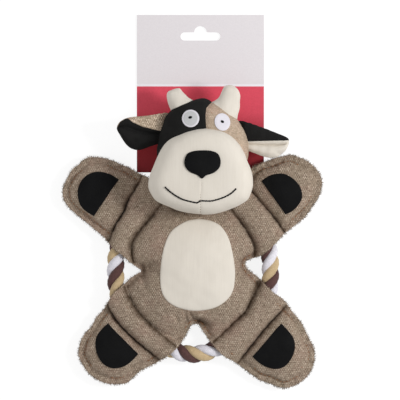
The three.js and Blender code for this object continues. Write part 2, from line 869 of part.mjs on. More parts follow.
function eyeParts(eye) {
  const centre = formPlace(skull, eye.xShare, eye.yShare);
  const surface = (p) => formTopAt(skullCentre, skull, p);
  const disc = roundOutline(eye.diameter, eye.diameter, 2, 18).map((p) => p.clone().add(centre));
  const colour = eye.name === "left" ? colours.greyFelt : colours.whiteFelt;
  const white = patchOn(surface, disc, centre, eyeThickness, [0.6, 1]);
  const face = stuffedForm(skullCentre, skull, -fitGap).add(
    stuffedForm(muzzleCentre, muzzle, -fitGap),
  );
  addNode(`${eye.name}_eye`, cutClear(white, face), cloth(colour));
  const spot = new THREE.Vector2(eye.pupilRight, eye.pupilUp).add(centre);
  const dot = roundOutline(pupilDiameter, pupilDiameter, 2, 12).map((p) => p.clone().add(spot));
  const onEye = (p) => surface(p) + patchGap + eyeThickness;
  addNode(
    `${eye.name}_pupil`,
    patchOn(onEye, dot, spot, pupilThickness, [1]),
    cloth(colours.black),
  );
}

function horn(place) {
  const points = hornProfileShares.map(
    (share) => new THREE.Vector2((share.radius * hornBaseDiameter) / 2, share.along * place.length),
  );
  const geometry = new THREE.LatheGeometry(
    [new THREE.Vector2(0, 0), ...points, new THREE.Vector2(0, place.length)],
    16,
  );
  geometry.rotateZ(THREE.MathUtils.degToRad(place.lean));
  const base = formPlace(skull, place.xShare, place.yShare);
  geometry.translate(base.x, base.y, skullBottom + skull.depth * hornZShare);
  const room = stuffedForm(skullCentre, skull, -fitGap);
  return toGeometry(toSolid(facingOut(geometry)).subtract(room));
}

// Where an ear's root line meets the side of the head.
function earRoot(ear) {
  const side = Math.cos(THREE.MathUtils.degToRad(ear.angle)) < 0 ? -1 : 1;
  const out = (1 - ear.rootShare ** skull.squareness) ** (1 / skull.squareness);
  return formPlace(skull, side * out, ear.rootShare).add(new THREE.Vector2(side * earGap, 0));
}

function earFace(ear, side) {
  const root = earRoot(ear);
  const steps = 12;
  const flank = [];
  for (let k = 0; k <= steps; k++) {
    const along = k / steps;
    const across = (1 - along) ** 0.55 * (0.72 + 0.75 * along - 0.35 * along * along);
    flank.push([along * earLength, (earWidth / 2) * across]);
  }
  const outline = [
    ...flank.map(([u, v]) => new THREE.Vector2(u, v)),
    ...flank
      .slice(0, -1)
      .reverse()
      .map(([u, v]) => new THREE.Vector2(u, -v)),
  ];
  const placed = turned(outline, ear.angle, root);
  const middle = turned([new THREE.Vector2(earLength * earMiddleShare, 0)], ear.angle, root)[0];
  const z = skullCentre.z + (side * fitGap) / 2;
  const rows = [[point(middle, z + side * (seamThickness + earSwell))]];
  for (const share of earShares) {
    const rise = seamThickness + earSwell * swellShare(share);
    rows.push(ringAt(between(middle, placed, share), z + side * rise));
  }
  rows.push(ringAt(placed, z + (side * seamThickness) / 2));
  rows.push(ringAt(placed, z));
  rows.push([point(middle, z)]);
  return cutClear(closedSkin(rows), stuffedForm(skullCentre, skull, -earGap));
}

// Hang card with a shop peg slot: a long bar with a round bump in the middle.
function hangCard() {
  const left = cardCentreX - cardWidth / 2;
  const right = cardCentreX + cardWidth / 2;
  const top = cardBottomY + cardHeight;
  const outline = new THREE.Shape();
  outline.moveTo(left, cardBottomY);
  outline.lineTo(right, cardBottomY);
  outline.lineTo(right, top);
  outline.lineTo(left, top);
  outline.closePath();
  const barY = top - slotFromTop;
  const end = slotHeight / 2;
  const reach = slotWidth / 2 - end;
  const bump = slotBump / 2;
  const slot = new THREE.Path();
  slot.moveTo(cardCentreX - reach, barY - end);
  slot.lineTo(cardCentreX + reach, barY - end);
  slot.absarc(cardCentreX + reach, barY, end, -Math.PI / 2, Math.PI / 2, false);
  slot.lineTo(cardCentreX + bump, barY + end);
  slot.absellipse(cardCentreX, barY + end, bump, slotBumpRise, 0, Math.PI, false, 0);
  slot.lineTo(cardCentreX - reach, barY + end);
  slot.absarc(cardCentreX - reach, barY, end, Math.PI / 2, (3 * Math.PI) / 2, false);
  outline.holes.push(slot);
  for (const place of pinPlaces) {
    const hole = new THREE.Path();
    hole.absarc(place.x, place.y, pinStemDiameter / 2 + fitGap, 0, 2 * Math.PI, true);
    outline.holes.push(hole);
  }
  const geometry = new THREE.ExtrudeGeometry(outline, {
    depth: cardThickness,
    bevelEnabled: false,
    curveSegments: 8,
  });
  geometry.translate(0, 0, cardZ);
  return geometry;
}

const backSwell = seamZ - seamThickness + tableFlat;
const pocketDepth = squeakerHeight / 2 + fitGap;
const reedRoom = pocketDepth + fitGap + squeakerWall;

addNode("trunk_front_panel", trunkFace(1, trunkSwell), cloth(colours.burlap));
addNode("trunk_back_panel", trunkFace(-1, backSwell), cloth(colours.burlap));
addNode("trunk_front_wadding", trunkWadding(1, trunkSwell, reedRoom), cloth(colours.wadding));
addNode("trunk_back_wadding", trunkWadding(-1, backSwell, pocketDepth), cloth(colours.wadding));
addNode("squeaker_bladder", squeakerBladder(), cloth(colours.plastic, 0.4));
addNode("squeaker_reed", squeakerReed(), cloth(colours.plastic, 0.4));
const bellyOutline = turned(
  roundOutline(bellyWidth, bellyLength, bellySquareness, 28, bellyEggShare),
  bellyTilt,
  bellyCentre,
);
const bellyPatch = patchOn(trunkTopAt, bellyOutline, bellyCentre, clothThickness, bellyShares);
addNode("belly_patch", cutClear(bellyPatch, chestRoom()), cloth(colours.canvas));
addNode("rope_ring", ropeRing(), cloth(colours.rope));
addNode("rope_join_tape", joinTape(), cloth(colours.plastic, 0.5));
for (const limb of limbs) {
  const end = limb.name.endsWith("leg") ? "foot" : "paw";
  addNode(`${limb.name}_sleeve`, ropeSleeve(limb), cloth(colours.burlap));
  addNode(`${limb.name}_${end}`, paw(limb), cloth(colours.burlap));
  addNode(`${limb.name}_pad`, pawPad(limb), cloth(colours.black));
}
addNode("neck", neck(), cloth(colours.burlap));
buildHead();
addNode("nose", nose(), cloth(colours.black, 0.8));
for (const eye of eyes) eyeParts(eye);
for (const place of horns) addNode(place.name, horn(place), cloth(colours.canvas));
for (const ear of ears) {
  const front = ear.name === "left_ear" ? colours.burlap : colours.black;
  const back = ear.name === "left_ear" ? colours.black : colours.canvas;
  addNode(`${ear.name}_front`, earFace(ear, 1), cloth(front));
  addNode(`${ear.name}_back`, earFace(ear, -1), cloth(back));
}
addNode("hang_card", hangCard(), cloth(colours.card, 0.5));
pinPlaces.forEach((place, k) => {
  addNode(`card_pin_${k + 1}`, tagPin(place), cloth(colours.plastic, 0.4));
});

// The origin is under the middle of the whole toy, on the table.
const bounds = new THREE.Box3().setFromObject(toy);
toy.position.set(
  -(bounds.min.x + bounds.max.x) / 2,
  -(bounds.min.y + bounds.max.y) / 2,
  -bounds.min.z,
);

export default toy;
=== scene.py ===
"""Looks of the plush rope toy: cloth, rope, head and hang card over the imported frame.

Lengths are in millimetres until a mesh is made, and the frame's axes are used throughout.
"""

import math

import bmesh
import bpy
import numpy as np
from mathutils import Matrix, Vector


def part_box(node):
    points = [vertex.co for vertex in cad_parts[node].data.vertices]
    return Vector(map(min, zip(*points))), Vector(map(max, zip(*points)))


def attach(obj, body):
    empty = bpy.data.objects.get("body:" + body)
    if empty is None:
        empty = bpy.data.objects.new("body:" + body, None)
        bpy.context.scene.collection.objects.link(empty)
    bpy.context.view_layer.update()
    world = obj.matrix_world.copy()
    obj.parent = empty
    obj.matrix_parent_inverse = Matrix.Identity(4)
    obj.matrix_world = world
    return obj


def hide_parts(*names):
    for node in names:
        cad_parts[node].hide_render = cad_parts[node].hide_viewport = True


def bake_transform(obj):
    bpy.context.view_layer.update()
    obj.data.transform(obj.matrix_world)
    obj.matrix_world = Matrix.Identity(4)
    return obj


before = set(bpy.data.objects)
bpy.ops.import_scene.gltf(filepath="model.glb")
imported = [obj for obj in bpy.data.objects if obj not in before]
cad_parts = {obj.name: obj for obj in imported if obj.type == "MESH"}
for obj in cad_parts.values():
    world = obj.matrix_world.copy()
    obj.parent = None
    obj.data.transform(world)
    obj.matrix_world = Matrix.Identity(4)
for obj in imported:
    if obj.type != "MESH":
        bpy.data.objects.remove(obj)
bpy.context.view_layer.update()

MM = 0.001
PIXEL = 0.8  # millimetres to a pixel of the photograph
FRAME_WIDTH = 400  # the photograph's, in pixels
CAMERA_HEIGHT = 3000.0
SCALE_LEVEL = 12.0  # height at which a pixel is 0.8 mm
VIEW_CENTRE = np.array([6.302, 1.961])
ORIGIN_PIXEL = 194.0, 266.0  # the pixel that shows the place ORIGIN
ORIGIN = 1.502, -50.839

RING_CENTRE = np.array([0.702, -54.839])
RING_RADIUS = 63.0
SEAM_Z = 9.3  # of the middle of the rope and of the cloth's edge
BASE = 0.8  # the two layers of cloth beside a seam, half their height
CLOTH = 0.75  # thickness of one layer
CHANNEL = 8.5  # radius of the cloth round the rope
SLEEVE_RISE, BODY_RISE = 8.6, 17.3  # of the cloth over the edge, at its fullest
PAW_SHARE = 1.12  # how full a paw is, against the body
STEP = 0.75  # of the grid that the cloth is made on
LINE_STEP = 0.8  # between the points of a smooth line, where nothing else is asked for
FRINGE = 5.2  # from the hem to the frayed edge
SWEEPS, OVER_RELAXATION = 420, 1.93  # of the solver that inflates the cloth


# ---- places, lines and fields ----


def at(px, py, z=None):
    """A pixel of the photograph in the frame, for something at height z."""
    right, up = px - ORIGIN_PIXEL[0], ORIGIN_PIXEL[1] - py
    flat = np.array([right * PIXEL + ORIGIN[0], up * PIXEL + ORIGIN[1]])
    if z is None:
        return flat
    return VIEW_CENTRE + (flat - VIEW_CENTRE) * ((CAMERA_HEIGHT - z) / (CAMERA_HEIGHT - SCALE_LEVEL))


def pixels(points, z=None):
    return np.array([at(px, py, z) for px, py in points])


def unit(v):
    return v / (np.linalg.norm(v, axis=-1, keepdims=True) + 1e-9)


def right_of(v):
    """Flat directions turned a quarter clockwise."""
    return np.stack([v[..., 1], -v[..., 0]], -1)


def circle(n):
    return 2 * math.pi * np.arange(n) / n


def heading(turn):
    return np.stack([np.cos(turn), np.sin(turn)], -1)


def evenly(line, count):
    return line[np.linspace(0, len(line) - 1, count).round().astype(int)]


def smooth_line(points, closed=False, step=LINE_STEP):
    """A Catmull-Rom line through the points, at even steps."""
    p = np.asarray(points, float)
    knots = np.concatenate([p[-1:], p, p[:2]] if closed else [p[:1], p, p[-1:]])
    a, b, c, d = (knots[k : len(knots) - 3 + k, None] for k in range(4))
    t = np.linspace(0, 1, 12, endpoint=False)[:, None]
    fine = 0.5 * (2 * b + (c - a) * t + (2 * a - 5 * b + 4 * c - d) * t * t + (3 * b - 3 * c + d - a) * t**3)
    fine = np.concatenate([fine.reshape(-1, p.shape[1]), p[:1] if closed else p[-1:]])
    along = np.concatenate([[0], np.cumsum(np.linalg.norm(np.diff(fine, axis=0), axis=1))])
    places = np.linspace(0, along[-1], max(4, int(round(along[-1] / step))) + 1)
    if closed:
        places = places[:-1]
    return np.stack([np.interp(places, along, column) for column in fine.T], 1)


def nearest(points, line, closed=False):
    """For each point: its distance to a line, its foot, its place along and its side (left is positive)."""
    a = line if closed else line[:-1]
    e = (np.roll(line, -1, axis=0) if closed else line[1:]) - a
    long = np.linalg.norm(e, axis=1)
    start = np.concatenate([[0], np.cumsum(long)[:-1]])
    flat = points.reshape(-1, 2)
    found = []
    for first in range(0, len(flat), 3000):
        p = flat[first : first + 3000, None]
        t = np.clip(((p - a) * e).sum(2) / (long**2), 0, 1)
        foot = a + t[..., None] * e
        dist = np.linalg.norm(p - foot, axis=2)
        k = dist.argmin(1)
        r = np.arange(len(k))
        v = p[:, 0] - a[k]
        side = np.sign(e[k, 0] * v[:, 1] - e[k, 1] * v[:, 0])
        found.append((dist[r, k], foot[r, k], start[k] + t[r, k] * long[k], side))
    return [np.concatenate(part).reshape(points.shape[:-1] + part[0].shape[1:]) for part in zip(*found)]


def signed_area(line):
    """Inside a closed line, above 0 where it runs anticlockwise."""
    after = np.roll(line, -1, axis=0)
    return 0.5 * np.sum(line[:, 0] * after[:, 1] - after[:, 0] * line[:, 1])


def inside_of(xs, ys, line):
    """Which points of the grid lie inside a closed line."""
    a, b = line, np.roll(line, -1, axis=0)
    found = np.zeros((len(ys), len(xs)), bool)
    for i, y in enumerate(ys):
        cross = (a[:, 1] > y) != (b[:, 1] > y)
        at_x = a[cross, 0] + (y - a[cross, 1]) * (b[cross, 0] - a[cross, 0]) / (b[cross, 1] - a[cross, 1])
        found[i] = (xs[:, None] > at_x).sum(1) % 2 == 1
    return found


def blur(field, times=1):
    for _ in range(times):
        p = np.pad(field, 1, mode="edge")
        p = p[:-2] + 2 * p[1:-1] + p[2:]
        field = (p[:, :-2] + 2 * p[:, 1:-1] + p[:, 2:]) / 16
    return field


def bell(distance, width, power=2):
    """1 at no distance, and 0.37 at the width."""
    return np.exp(-((distance / width) ** power))


def smooth_max(a, b, k):
    return 0.5 * (a + b + np.sqrt((a - b) ** 2 + k * k))


def waves(x, y, size, seed, count=9):
    """Smooth noise between about -1 and 1, with features of the given size."""
    r = np.random.default_rng(seed)
    total = np.zeros_like(x)
    for _ in range(count):
        turn = r.uniform(0, 2 * math.pi)
        long = size * r.uniform(0.7, 1.6)
        place = x * math.cos(turn) + y * math.sin(turn)
        total += np.sin(2 * math.pi * place / long + r.uniform(0, 2 * math.pi))
    return total / math.sqrt(count)


# ---- outline and seams of the cloth, in pixels of the photograph ----

OUTLINE = [
    (148, 177.2), (139.1, 173.4), (130.2, 168.3), (120, 163.8), (111, 160), (102.1, 157.8), (90.6, 156.8),
    (83, 160), (77.9, 165.1), (71.5, 170.2), (66.4, 179.7), (62.6, 188.7), (63.2, 198.9), (67.7, 206.5),
    (76.6, 214.8), (85.5, 221.8), (94.4, 229.5), (102.1, 235.9), (107.8, 242.2), (114.8, 249.9),
    (122.5, 255.4), (128.9, 261.4), (136.0, 266.9), (141.2, 270.8), (135.6, 274.6), (129.2, 279.0),
    (123.8, 284.2), (114.8, 292), (110, 298.2), (103.2, 309.9), (95.7, 318.1), (91.6, 326.5), (84.9, 333),
    (80, 343), (78.3, 354.6), (83.3, 366.2), (91.6, 376.2), (106.5, 383.6), (124.7, 383.6), (133, 377.8),
    (141.3, 370.4), (152.9, 364.6), (160.4, 360.4), (169.5, 354.6), (176.1, 348.6), (181.4, 342.2),
    (186.0, 334.6), (189.9, 328.0), (192.6, 324.6), (198.6, 324.6), (202.2, 330.4), (205.6, 335.4),
    (210, 341.2), (217.9, 350.4), (224.2, 356.3), (235.8, 362.9), (245.8, 370.4), (257.4, 378.7),
    (269, 383.6), (283.9, 388.2), (297.2, 384.5), (308.8, 374.5), (314.6, 361.3), (313.8, 348),
    (307.1, 334.7), (300.5, 321.5), (292.2, 311.5), (283.9, 299.9), (275.6, 294.1), (267, 286.3),
    (258, 277), (251.2, 272), (247.4, 268.6), (245.7, 264.8), (246.3, 261.2), (251.3, 258.8), (260, 256),
    (268, 250.5), (275, 244), (285, 233.5), (296, 224.5), (305, 217), (313, 206), (319.6, 195),
    (322.3, 182), (318, 171), (309, 162), (300, 157.5), (291, 155), (277, 157.5), (264.5, 162), (252, 168),
    (247, 176), (238, 187), (229, 196), (216, 202.5), (199, 204.5), (183, 203), (171, 199), (161, 191),
    (154, 183),
]
NOTCHES = [  # pixel; how much narrower its hem is; how plain its stitching shows
    (141.2, 270.8, 3.6, 0.1),
    (245.8, 265, 2.6, 1.0),
    (195.5, 324.6, 2.6, 0.6),
]
SEAMS = {  # each limb's seam between paw and sleeve, and between sleeve and body
    "left_arm": (
        [(145, 170), (138.4, 183.6), (133.5, 192), (128.9, 198.9), (123.8, 212), (116.1, 224.4),
         (109.7, 239.7), (104, 252)],
        [(176, 184), (167, 197), (160.3, 206), (149.3, 219.3), (136.5, 234.6), (131.5, 245), (132.4, 257.6),
         (134.5, 270)],
    ),
    "right_arm": (
        [(238, 171), (246, 184), (253.3, 193.3), (263.4, 205.1), (271.5, 214.5), (282, 229), (290, 242)],
        [(219, 190), (225, 200), (231, 209.1), (242.4, 224.4), (253, 242), (254.8, 252.4), (253, 266)],
    ),
    "left_leg": (
        [(104, 296), (109.3, 308.8), (119, 323.7), (135.6, 340.3), (152.3, 353.8), (160, 360), (168, 368)],
        [(121, 276), (125.5, 289), (134.5, 307), (149, 323.5), (164, 336), (174.5, 344.5), (184, 352)],
    ),
    "right_leg": (
        [(293, 297), (283.9, 308.2), (266.3, 326.9), (253, 343.5), (242.5, 356.8), (232, 371)],
        [(263, 273), (259, 285), (250.3, 301.6), (245.3, 311.5), (233.6, 322.6), (222, 334.2), (208, 346)],
    ),
}
LIMBS = list(SEAMS)
# In degrees round the ring's centre: the part that is each limb's, and the way in which it points
SECTORS = {"left_arm": (91, 181), "left_leg": (181, 273), "right_leg": (273, 364), "right_arm": (4, 91)}

xs = np.arange(-112, 113, STEP)
ys = np.arange(-158, 48, STEP)
GX, GY = np.meshgrid(xs, ys)
GRID = np.stack([GX, GY], -1)
SHAPE = GX.shape

outline = smooth_line(pixels(OUTLINE), closed=True, step=1.2)
OUTWARD = np.sign(signed_area(outline))  # 1 where the outline's outer side is on its right
inside = inside_of(xs, ys, outline)
out_dist, out_foot, out_along, _ = nearest(GRID, outline, closed=True)
edge_dist = np.where(inside, out_dist, -out_dist)
ring_dist = np.abs(np.linalg.norm(GRID - RING_CENTRE, axis=-1) - RING_RADIUS)
cover = np.sqrt(np.maximum(0, CHANNEL**2 - ring_dist**2))


def spot(px, py, wide, high=None):
    """A soft spot of 1 at a pixel, of the given reach in millimetres."""
    x, y = at(px, py)
    return np.exp(-(((GX - x) / wide) ** 2) - ((GY - y) / (high or wide)) ** 2)


# Fringe: narrow in the notches, wide round the paws
fringe = np.full(SHAPE, FRINGE)
hem_shown = np.clip(0.55 + 0.75 * waves(GX, GY, 24, 33), 0.05, 1)
for px, py, narrower, shown in NOTCHES:
    near = spot(px, py, 13)
    fringe -= narrower * near
    hem_shown = hem_shown * (1 - near) + shown * near
fringe += 0.5 * waves(GX, GY, 22, 3)


def hand_sewn(line, seed):
    """The line with the slight wander of a seam."""
    s = LINE_STEP * np.arange(len(line))
    wander = 0.15 * np.sin(s / 1.35 + seed) + 0.10 * np.sin(s / 0.71 + 2.3 * seed)
    return line - right_of(unit(np.gradient(line, axis=0))) * wander[:, None]


def in_sector(points, limb):
    away = points - RING_CENTRE
    turn = np.degrees(np.arctan2(away[..., 1], away[..., 0])) % 360
    low, high = SECTORS[limb]
    return (turn >= low) & (turn < high) | (turn + 360 < high)


def past(points, line):
    """As nearest(), but the last part says whether the line parts the point from the ring's centre."""
    dist, foot, along, side = nearest(points, line)
    return dist, foot, along, side != nearest(RING_CENTRE[None], line)[3]


# Regions: 0 trunk, 1 to 4 sleeves, 5 to 8 paws
region = np.zeros(SHAPE, int)
seam_dist = np.full(SHAPE, 1e3)
seam_along = np.zeros(SHAPE)
sleeve_place = np.zeros(SHAPE)  # from -1 at the paw to 1 at the body
outer_foot = np.zeros(SHAPE + (2,))
outer_seams = []
for k, limb in enumerate(LIMBS):
    sector = in_sector(GRID, limb)
    out_line, in_line = (hand_sewn(smooth_line(pixels(SEAMS[limb][n])), k + 4 * n) for n in (0, 1))
    outer_seams.append(out_line)
    di, _, si, past_in = past(GRID, in_line)
    do, fo, so, past_out = past(GRID, out_line)
    region[sector & past_in & ~past_out] = 1 + k
    region[sector & past_out] = 5 + k
    sleeve_place = np.where(region == 1 + k, (do - di) / (do + di + 1e-6), sleeve_place)
    by_paw = (region == 5 + k) | sector & (do < 3 * STEP)
    outer_foot[by_paw] = fo[by_paw]
    for d, s in ((di, si), (do, so + 50)):
        closer = sector & (d < seam_dist)
        seam_dist[closer] = d[closer]
        seam_along[closer] = s[closer]
sleeve = (region >= 1) & (region <= 4)


def paw_of(points):
    """5 to 8 for points on a paw, 0 for the rest."""
    found = np.zeros(points.shape[:-1], int)
    for k, limb in enumerate(LIMBS):
        found[in_sector(points, limb) & past(points, outer_seams[k])[3]] = 5 + k
    return found


# ---- heights of the cloth ----


def inflate(free):
    """Height of a stuffed shape over free cells, held down elsewhere, before any scale."""
    u = np.zeros(SHAPE)
    rows, cols = np.indices(SHAPE)
    odd = (rows + cols) % 2 == 1
    for _ in range(SWEEPS):
        for pick in (odd, ~odd):
            around = sum(np.roll(u, shift, axis) for axis in (0, 1) for shift in (1, -1))
            cells = free & pick
            u[cells] += OVER_RELAXATION * (0.25 * (around + STEP * STEP)[cells] - u[cells])
    return np.sqrt(np.maximum(u, 0))


stitched = inside & (edge_dist > fringe)
stuffing = inflate(stitched & (seam_dist > 0.55 * STEP))
hem_dist = np.abs(edge_dist - fringe)
pucker_s = np.where(seam_dist < np.where(stitched, edge_dist - fringe, 0), seam_along, out_along)
pucker_d = np.minimum(seam_dist, hem_dist)
puckers = np.exp(-pucker_d / 2.6) * (
    np.sin(2 * math.pi * pucker_s / 5.3 + 1.7 * np.sin(pucker_s / 6.1))
    + 0.7 * np.sin(2 * math.pi * pucker_s / 3.1 + 2.0 * np.sin(pucker_s / 4.3))
)
rumple = 0.35 * waves(GX, GY, 26, 11) + 0.16 * waves(GX, GY, 11, 12)
rumple *= np.clip(pucker_d / 2.0, 0, 1)


def fold(start, end, width, depth):
    """A soft crease between two pixels, deepest at its start."""
    a = at(*start)
    e = at(*end) - a
    t = np.clip((GRID - a) @ e / (e @ e), 0, 1)
    d = np.linalg.norm(GRID - a - t[..., None] * e, axis=-1)
    return depth * (1 - t) ** 0.7 * bell(d, width)


sunk = 1 - 0.4 * spot(138, 184, 15, 13) - 0.25 * spot(262, 196, 9)
bulge = SLEEVE_RISE * (1 - np.abs(sleeve_place) ** 3.0) ** 0.6 * sunk
bulge *= 0.5 + 0.5 * bell(np.maximum(ring_dist - 6, 0), 9)
body = stuffing / stuffing[region == 0].max() * BODY_RISE * np.where(region == 0, 1, PAW_SHARE * sunk)
body += rumple * (stuffing > 0)
for crease_of in (
    ((142, 271), (160, 263), 3.0, 6.4),
    ((143, 272), (146, 292), 2.4, 4.6),
    ((143, 269), (160, 270), 6.0, 3.6),
    ((150, 262), (152, 248), 4.0, 1.6),
    ((245, 265), (232, 258), 3.2, 3.0),
    ((246, 268), (236, 286), 3.6, 3.0),
    ((193, 322), (190, 311), 1.3, 3.6),
    ((196, 320), (213, 326), 1.9, 6.4),
    ((187, 322), (183, 308), 1.7, 4.2),
    ((177, 320), (176, 310), 1.6, 2.4),
    ((203, 330), (224, 321), 2.8, 3.6),
    ((194, 321), (203, 312), 1.2, -2.2),
):
    body -= fold(*crease_of)
body = np.where(stuffing > 0, np.maximum(body, 0), 0)


def rise_of(height, pucker_height):
    """How far one side rises: blurred, puckered, and over the channel of the rope."""
    height = blur(height) + pucker_height * puckers * np.clip(stuffing / 1.5, 0.25, 1) * inside
    return smooth_max(np.maximum(height, 0), cover - 0.1, 0.6) - 0.28


clear_of_rope = cover < 3
flap = 0.45 * waves(GX, GY, 9, 21) + 0.35 * waves(GX, GY, 4.3, 22)
flap *= np.clip((fringe - edge_dist) / 2.0, 0, 1) * clear_of_rope
crease = bell(hem_dist, 0.9) * clear_of_rope * hem_shown

front = rise_of(np.where(sleeve, np.maximum(bulge + 0.4 * rumple, 0), body), 0.42)
FRONT = SEAM_Z + BASE + front + flap - 0.8 * crease
back = rise_of(np.where(sleeve, bulge, body * 0.9), 0.3)
flat_from = SEAM_Z - BASE - 2.15  # where the back starts to flatten against the floor
back = np.where(back < flat_from, back, flat_from + 2 * np.tanh((back - flat_from) / 2))
BACK = np.minimum(SEAM_Z - BASE - back + flap * 0.8 + 0.5 * crease, FRONT - 0.9)

# Painted shade in the cloth's creases: dark at the seams, most on the side that dips under
painted_shade_reach = np.where(sleeve, np.where(sleeve_place > 0, 2.3, 0.9), np.where(region == 0, 0.8, 2.1))
painted_shade_reach *= 1 + 0.3 * waves(GX, GY, 9, 36)
painted_crease_shade = np.clip(0.92 + 0.16 * waves(GX, GY, 6, 35), 0.7, 1) * (edge_dist > 0.8)
painted_crease_shade *= bell(seam_dist, painted_shade_reach, 1.3)
# Painted shade in the deep folds at the notches and the crotch
for painted_fold_shade in (
    ((199.3, 321.3), (213.3, 328.8), 2.4, 1.0),
    ((190.5, 312), (195.5, 320.5), 0.9, 0.7),
    ((143.6, 270.5), (142.6, 261), 1.6, 0.8),
    ((143.8, 271), (144.8, 279), 1.4, 0.7),
    ((242.0, 261), (241.5, 270), 1.0, 0.4),
    ((257.4, 283), (245.0, 316), 1.9, 0.9),
):
    painted_crease_shade = np.maximum(painted_crease_shade, fold(*painted_fold_shade))
# Less painted shade at one spot on the right arm
painted_crease_shade *= 1 - 0.45 * spot(266, 206, 9)
hem_line = bell(hem_dist, 0.75, 1.6) * clear_of_rope * hem_shown
hem_line *= np.clip(0.8 + 0.4 * waves(GX, GY, 7, 34), 0.2, 1)


def sample(field, points):
    """A field of the grid at any points."""
    fx = np.clip((points[:, 0] - xs[0]) / STEP, 0, len(xs) - 1.001)
    fy = np.clip((points[:, 1] - ys[0]) / STEP, 0, len(ys) - 1.001)
    i, j = fy.astype(int), fx.astype(int)
    v, u = fy - i, fx - j
    near, far = (field[row, j] * (1 - u) + field[row, j + 1] * u for row in (i, i + 1))
    return near * (1 - v) + far * v


# ---- materials ----


class Finish:
    """A material in the making: its nodes and the shader that they lead to."""

    def __init__(self, name, color, rough):
        self.material = bpy.data.materials.new(name)
        self.material.use_nodes = True
        self.tree = self.material.node_tree
        self.shader = self.tree.nodes["Principled BSDF"]
        self.coordinates = None
        self.put(self.shader, ("Base Color", (*color, 1)), ("Roughness", rough))

    def put(self, made, *inputs):
        for key, value in inputs:
            if isinstance(value, bpy.types.NodeSocket):
                self.tree.links.new(value, made.inputs[key])
            else:
                made.inputs[key].default_value = value

    def node(self, kind, *inputs, **settings):
        made = self.tree.nodes.new("ShaderNode" + kind)
        for key, value in settings.items():
            setattr(made, key, value)
        self.put(made, *inputs)
        return made

    def where(self, kind="Object"):
        if self.coordinates is None:
            self.coordinates = self.node("TexCoord")
        return self.coordinates.outputs[kind]

    def math(self, operation, *values):
        return self.node("Math", *enumerate(values), operation=operation).outputs[0]

    def add(self, *values):
        return self.math("ADD", *values)

    def times(self, *values):
        return self.math("MULTIPLY", *values)

    def weighed(self, *parts):
        """The sum of some values, each times its weight."""
        total, *rest = (self.times(value, weight) for value, weight in parts)
        for value in rest:
            total = self.add(total, value)
        return total

    def vector(self, operation, *inputs):
        return self.node("VectorMath", *inputs, operation=operation).outputs[0]

    def split(self, vector):
        return self.node("SeparateXYZ", (0, vector)).outputs

    def mixed(self, share, first, second):
        first, second = ((*c, 1) if isinstance(c, tuple) else c for c in (first, second))
        return self.node("Mix", (0, share), (6, first), (7, second), data_type="RGBA").outputs[2]

    def ramp(self, value, *stops):
        """Colours by a value, or greys where a stop is a number."""
        made = self.node("ValToRGB", (0, value))
        elements = made.color_ramp.elements
        while len(elements) < len(stops):
            elements.new(0.5)
        for element, (place, color) in zip(elements, stops):
            element.position = place
            element.color = (*(color if isinstance(color, tuple) else (color,) * 3), 1)
        return made.outputs[0]

    def noise(self, scale, detail=3.0, rough=0.55, stretch=None, where=None):
        where = where or self.where()
        if stretch:
            where = self.node("Mapping", ("Vector", where), ("Scale", stretch)).outputs[0]
        inputs = ("Vector", where), ("Scale", scale), ("Detail", detail), ("Roughness", rough)
        return self.node("TexNoise", *inputs).outputs["Fac"]

    def weave(self, across, upward, wobble):
        """Crossing yarns of the given pitches in millimetres, laid on the surface whichever way it faces.

        Gives their height, a value above 0 where a warp yarn is on top, and how far up its row a point is.
        """
        where = self.where()
        bend = self.node("TexNoise", ("Vector", where), ("Scale", 260.0), ("Detail", 2.0)).outputs["Color"]
        off = self.vector("SUBTRACT", (0, bend), (1, (0.5, 0.5, 0.5)))
        off = self.vector("SCALE", (0, off), ("Scale", wobble * across * MM))
        bent = self.split(self.vector("ADD", (0, where), (1, off)))
        facing = self.split(self.where("Normal"))

        def yarns(axis, pitch):
            return self.math("SINE", self.times(bent[axis], math.pi / (pitch * MM)))

        product, rows, total = 0.0, 0.0, 1e-4
        for axis, first, second in (
            ("X", yarns("Z", across), yarns("Y", upward)),
            ("Y", yarns("X", across), yarns("Z", upward)),
            ("Z", yarns("X", across), yarns("Y", upward)),
        ):
            share = self.math("POWER", self.math("ABSOLUTE", facing[axis]), 4.0)
            product = self.add(product, self.times(self.times(first, second), share))
            rows = self.add(rows, self.times(self.math("ABSOLUTE", second), share))
            total = self.add(total, share)
        product = self.math("DIVIDE", product, total)
        return self.math("ABSOLUTE", product), product, self.math("DIVIDE", rows, total)

    def done(self, color, relief, strength, depth, rough, specular=0.5, sheen=0.0, sheen_rough=0.5):
        """Puts the colour, a bump of so many millimetres, a ramp of roughness and the gloss in the shader."""
        bump = self.node("Bump", ("Height", relief), ("Strength", strength), ("Distance", depth * MM))
        self.put(
            self.shader,
            ("Base Color", color),
            ("Normal", bump.outputs[0]),
            ("Roughness", self.ramp(*rough)),
            ("Specular IOR Level", specular),
            ("Sheen Weight", sheen),
            ("Sheen Roughness", sheen_rough),
        )
        return self.material


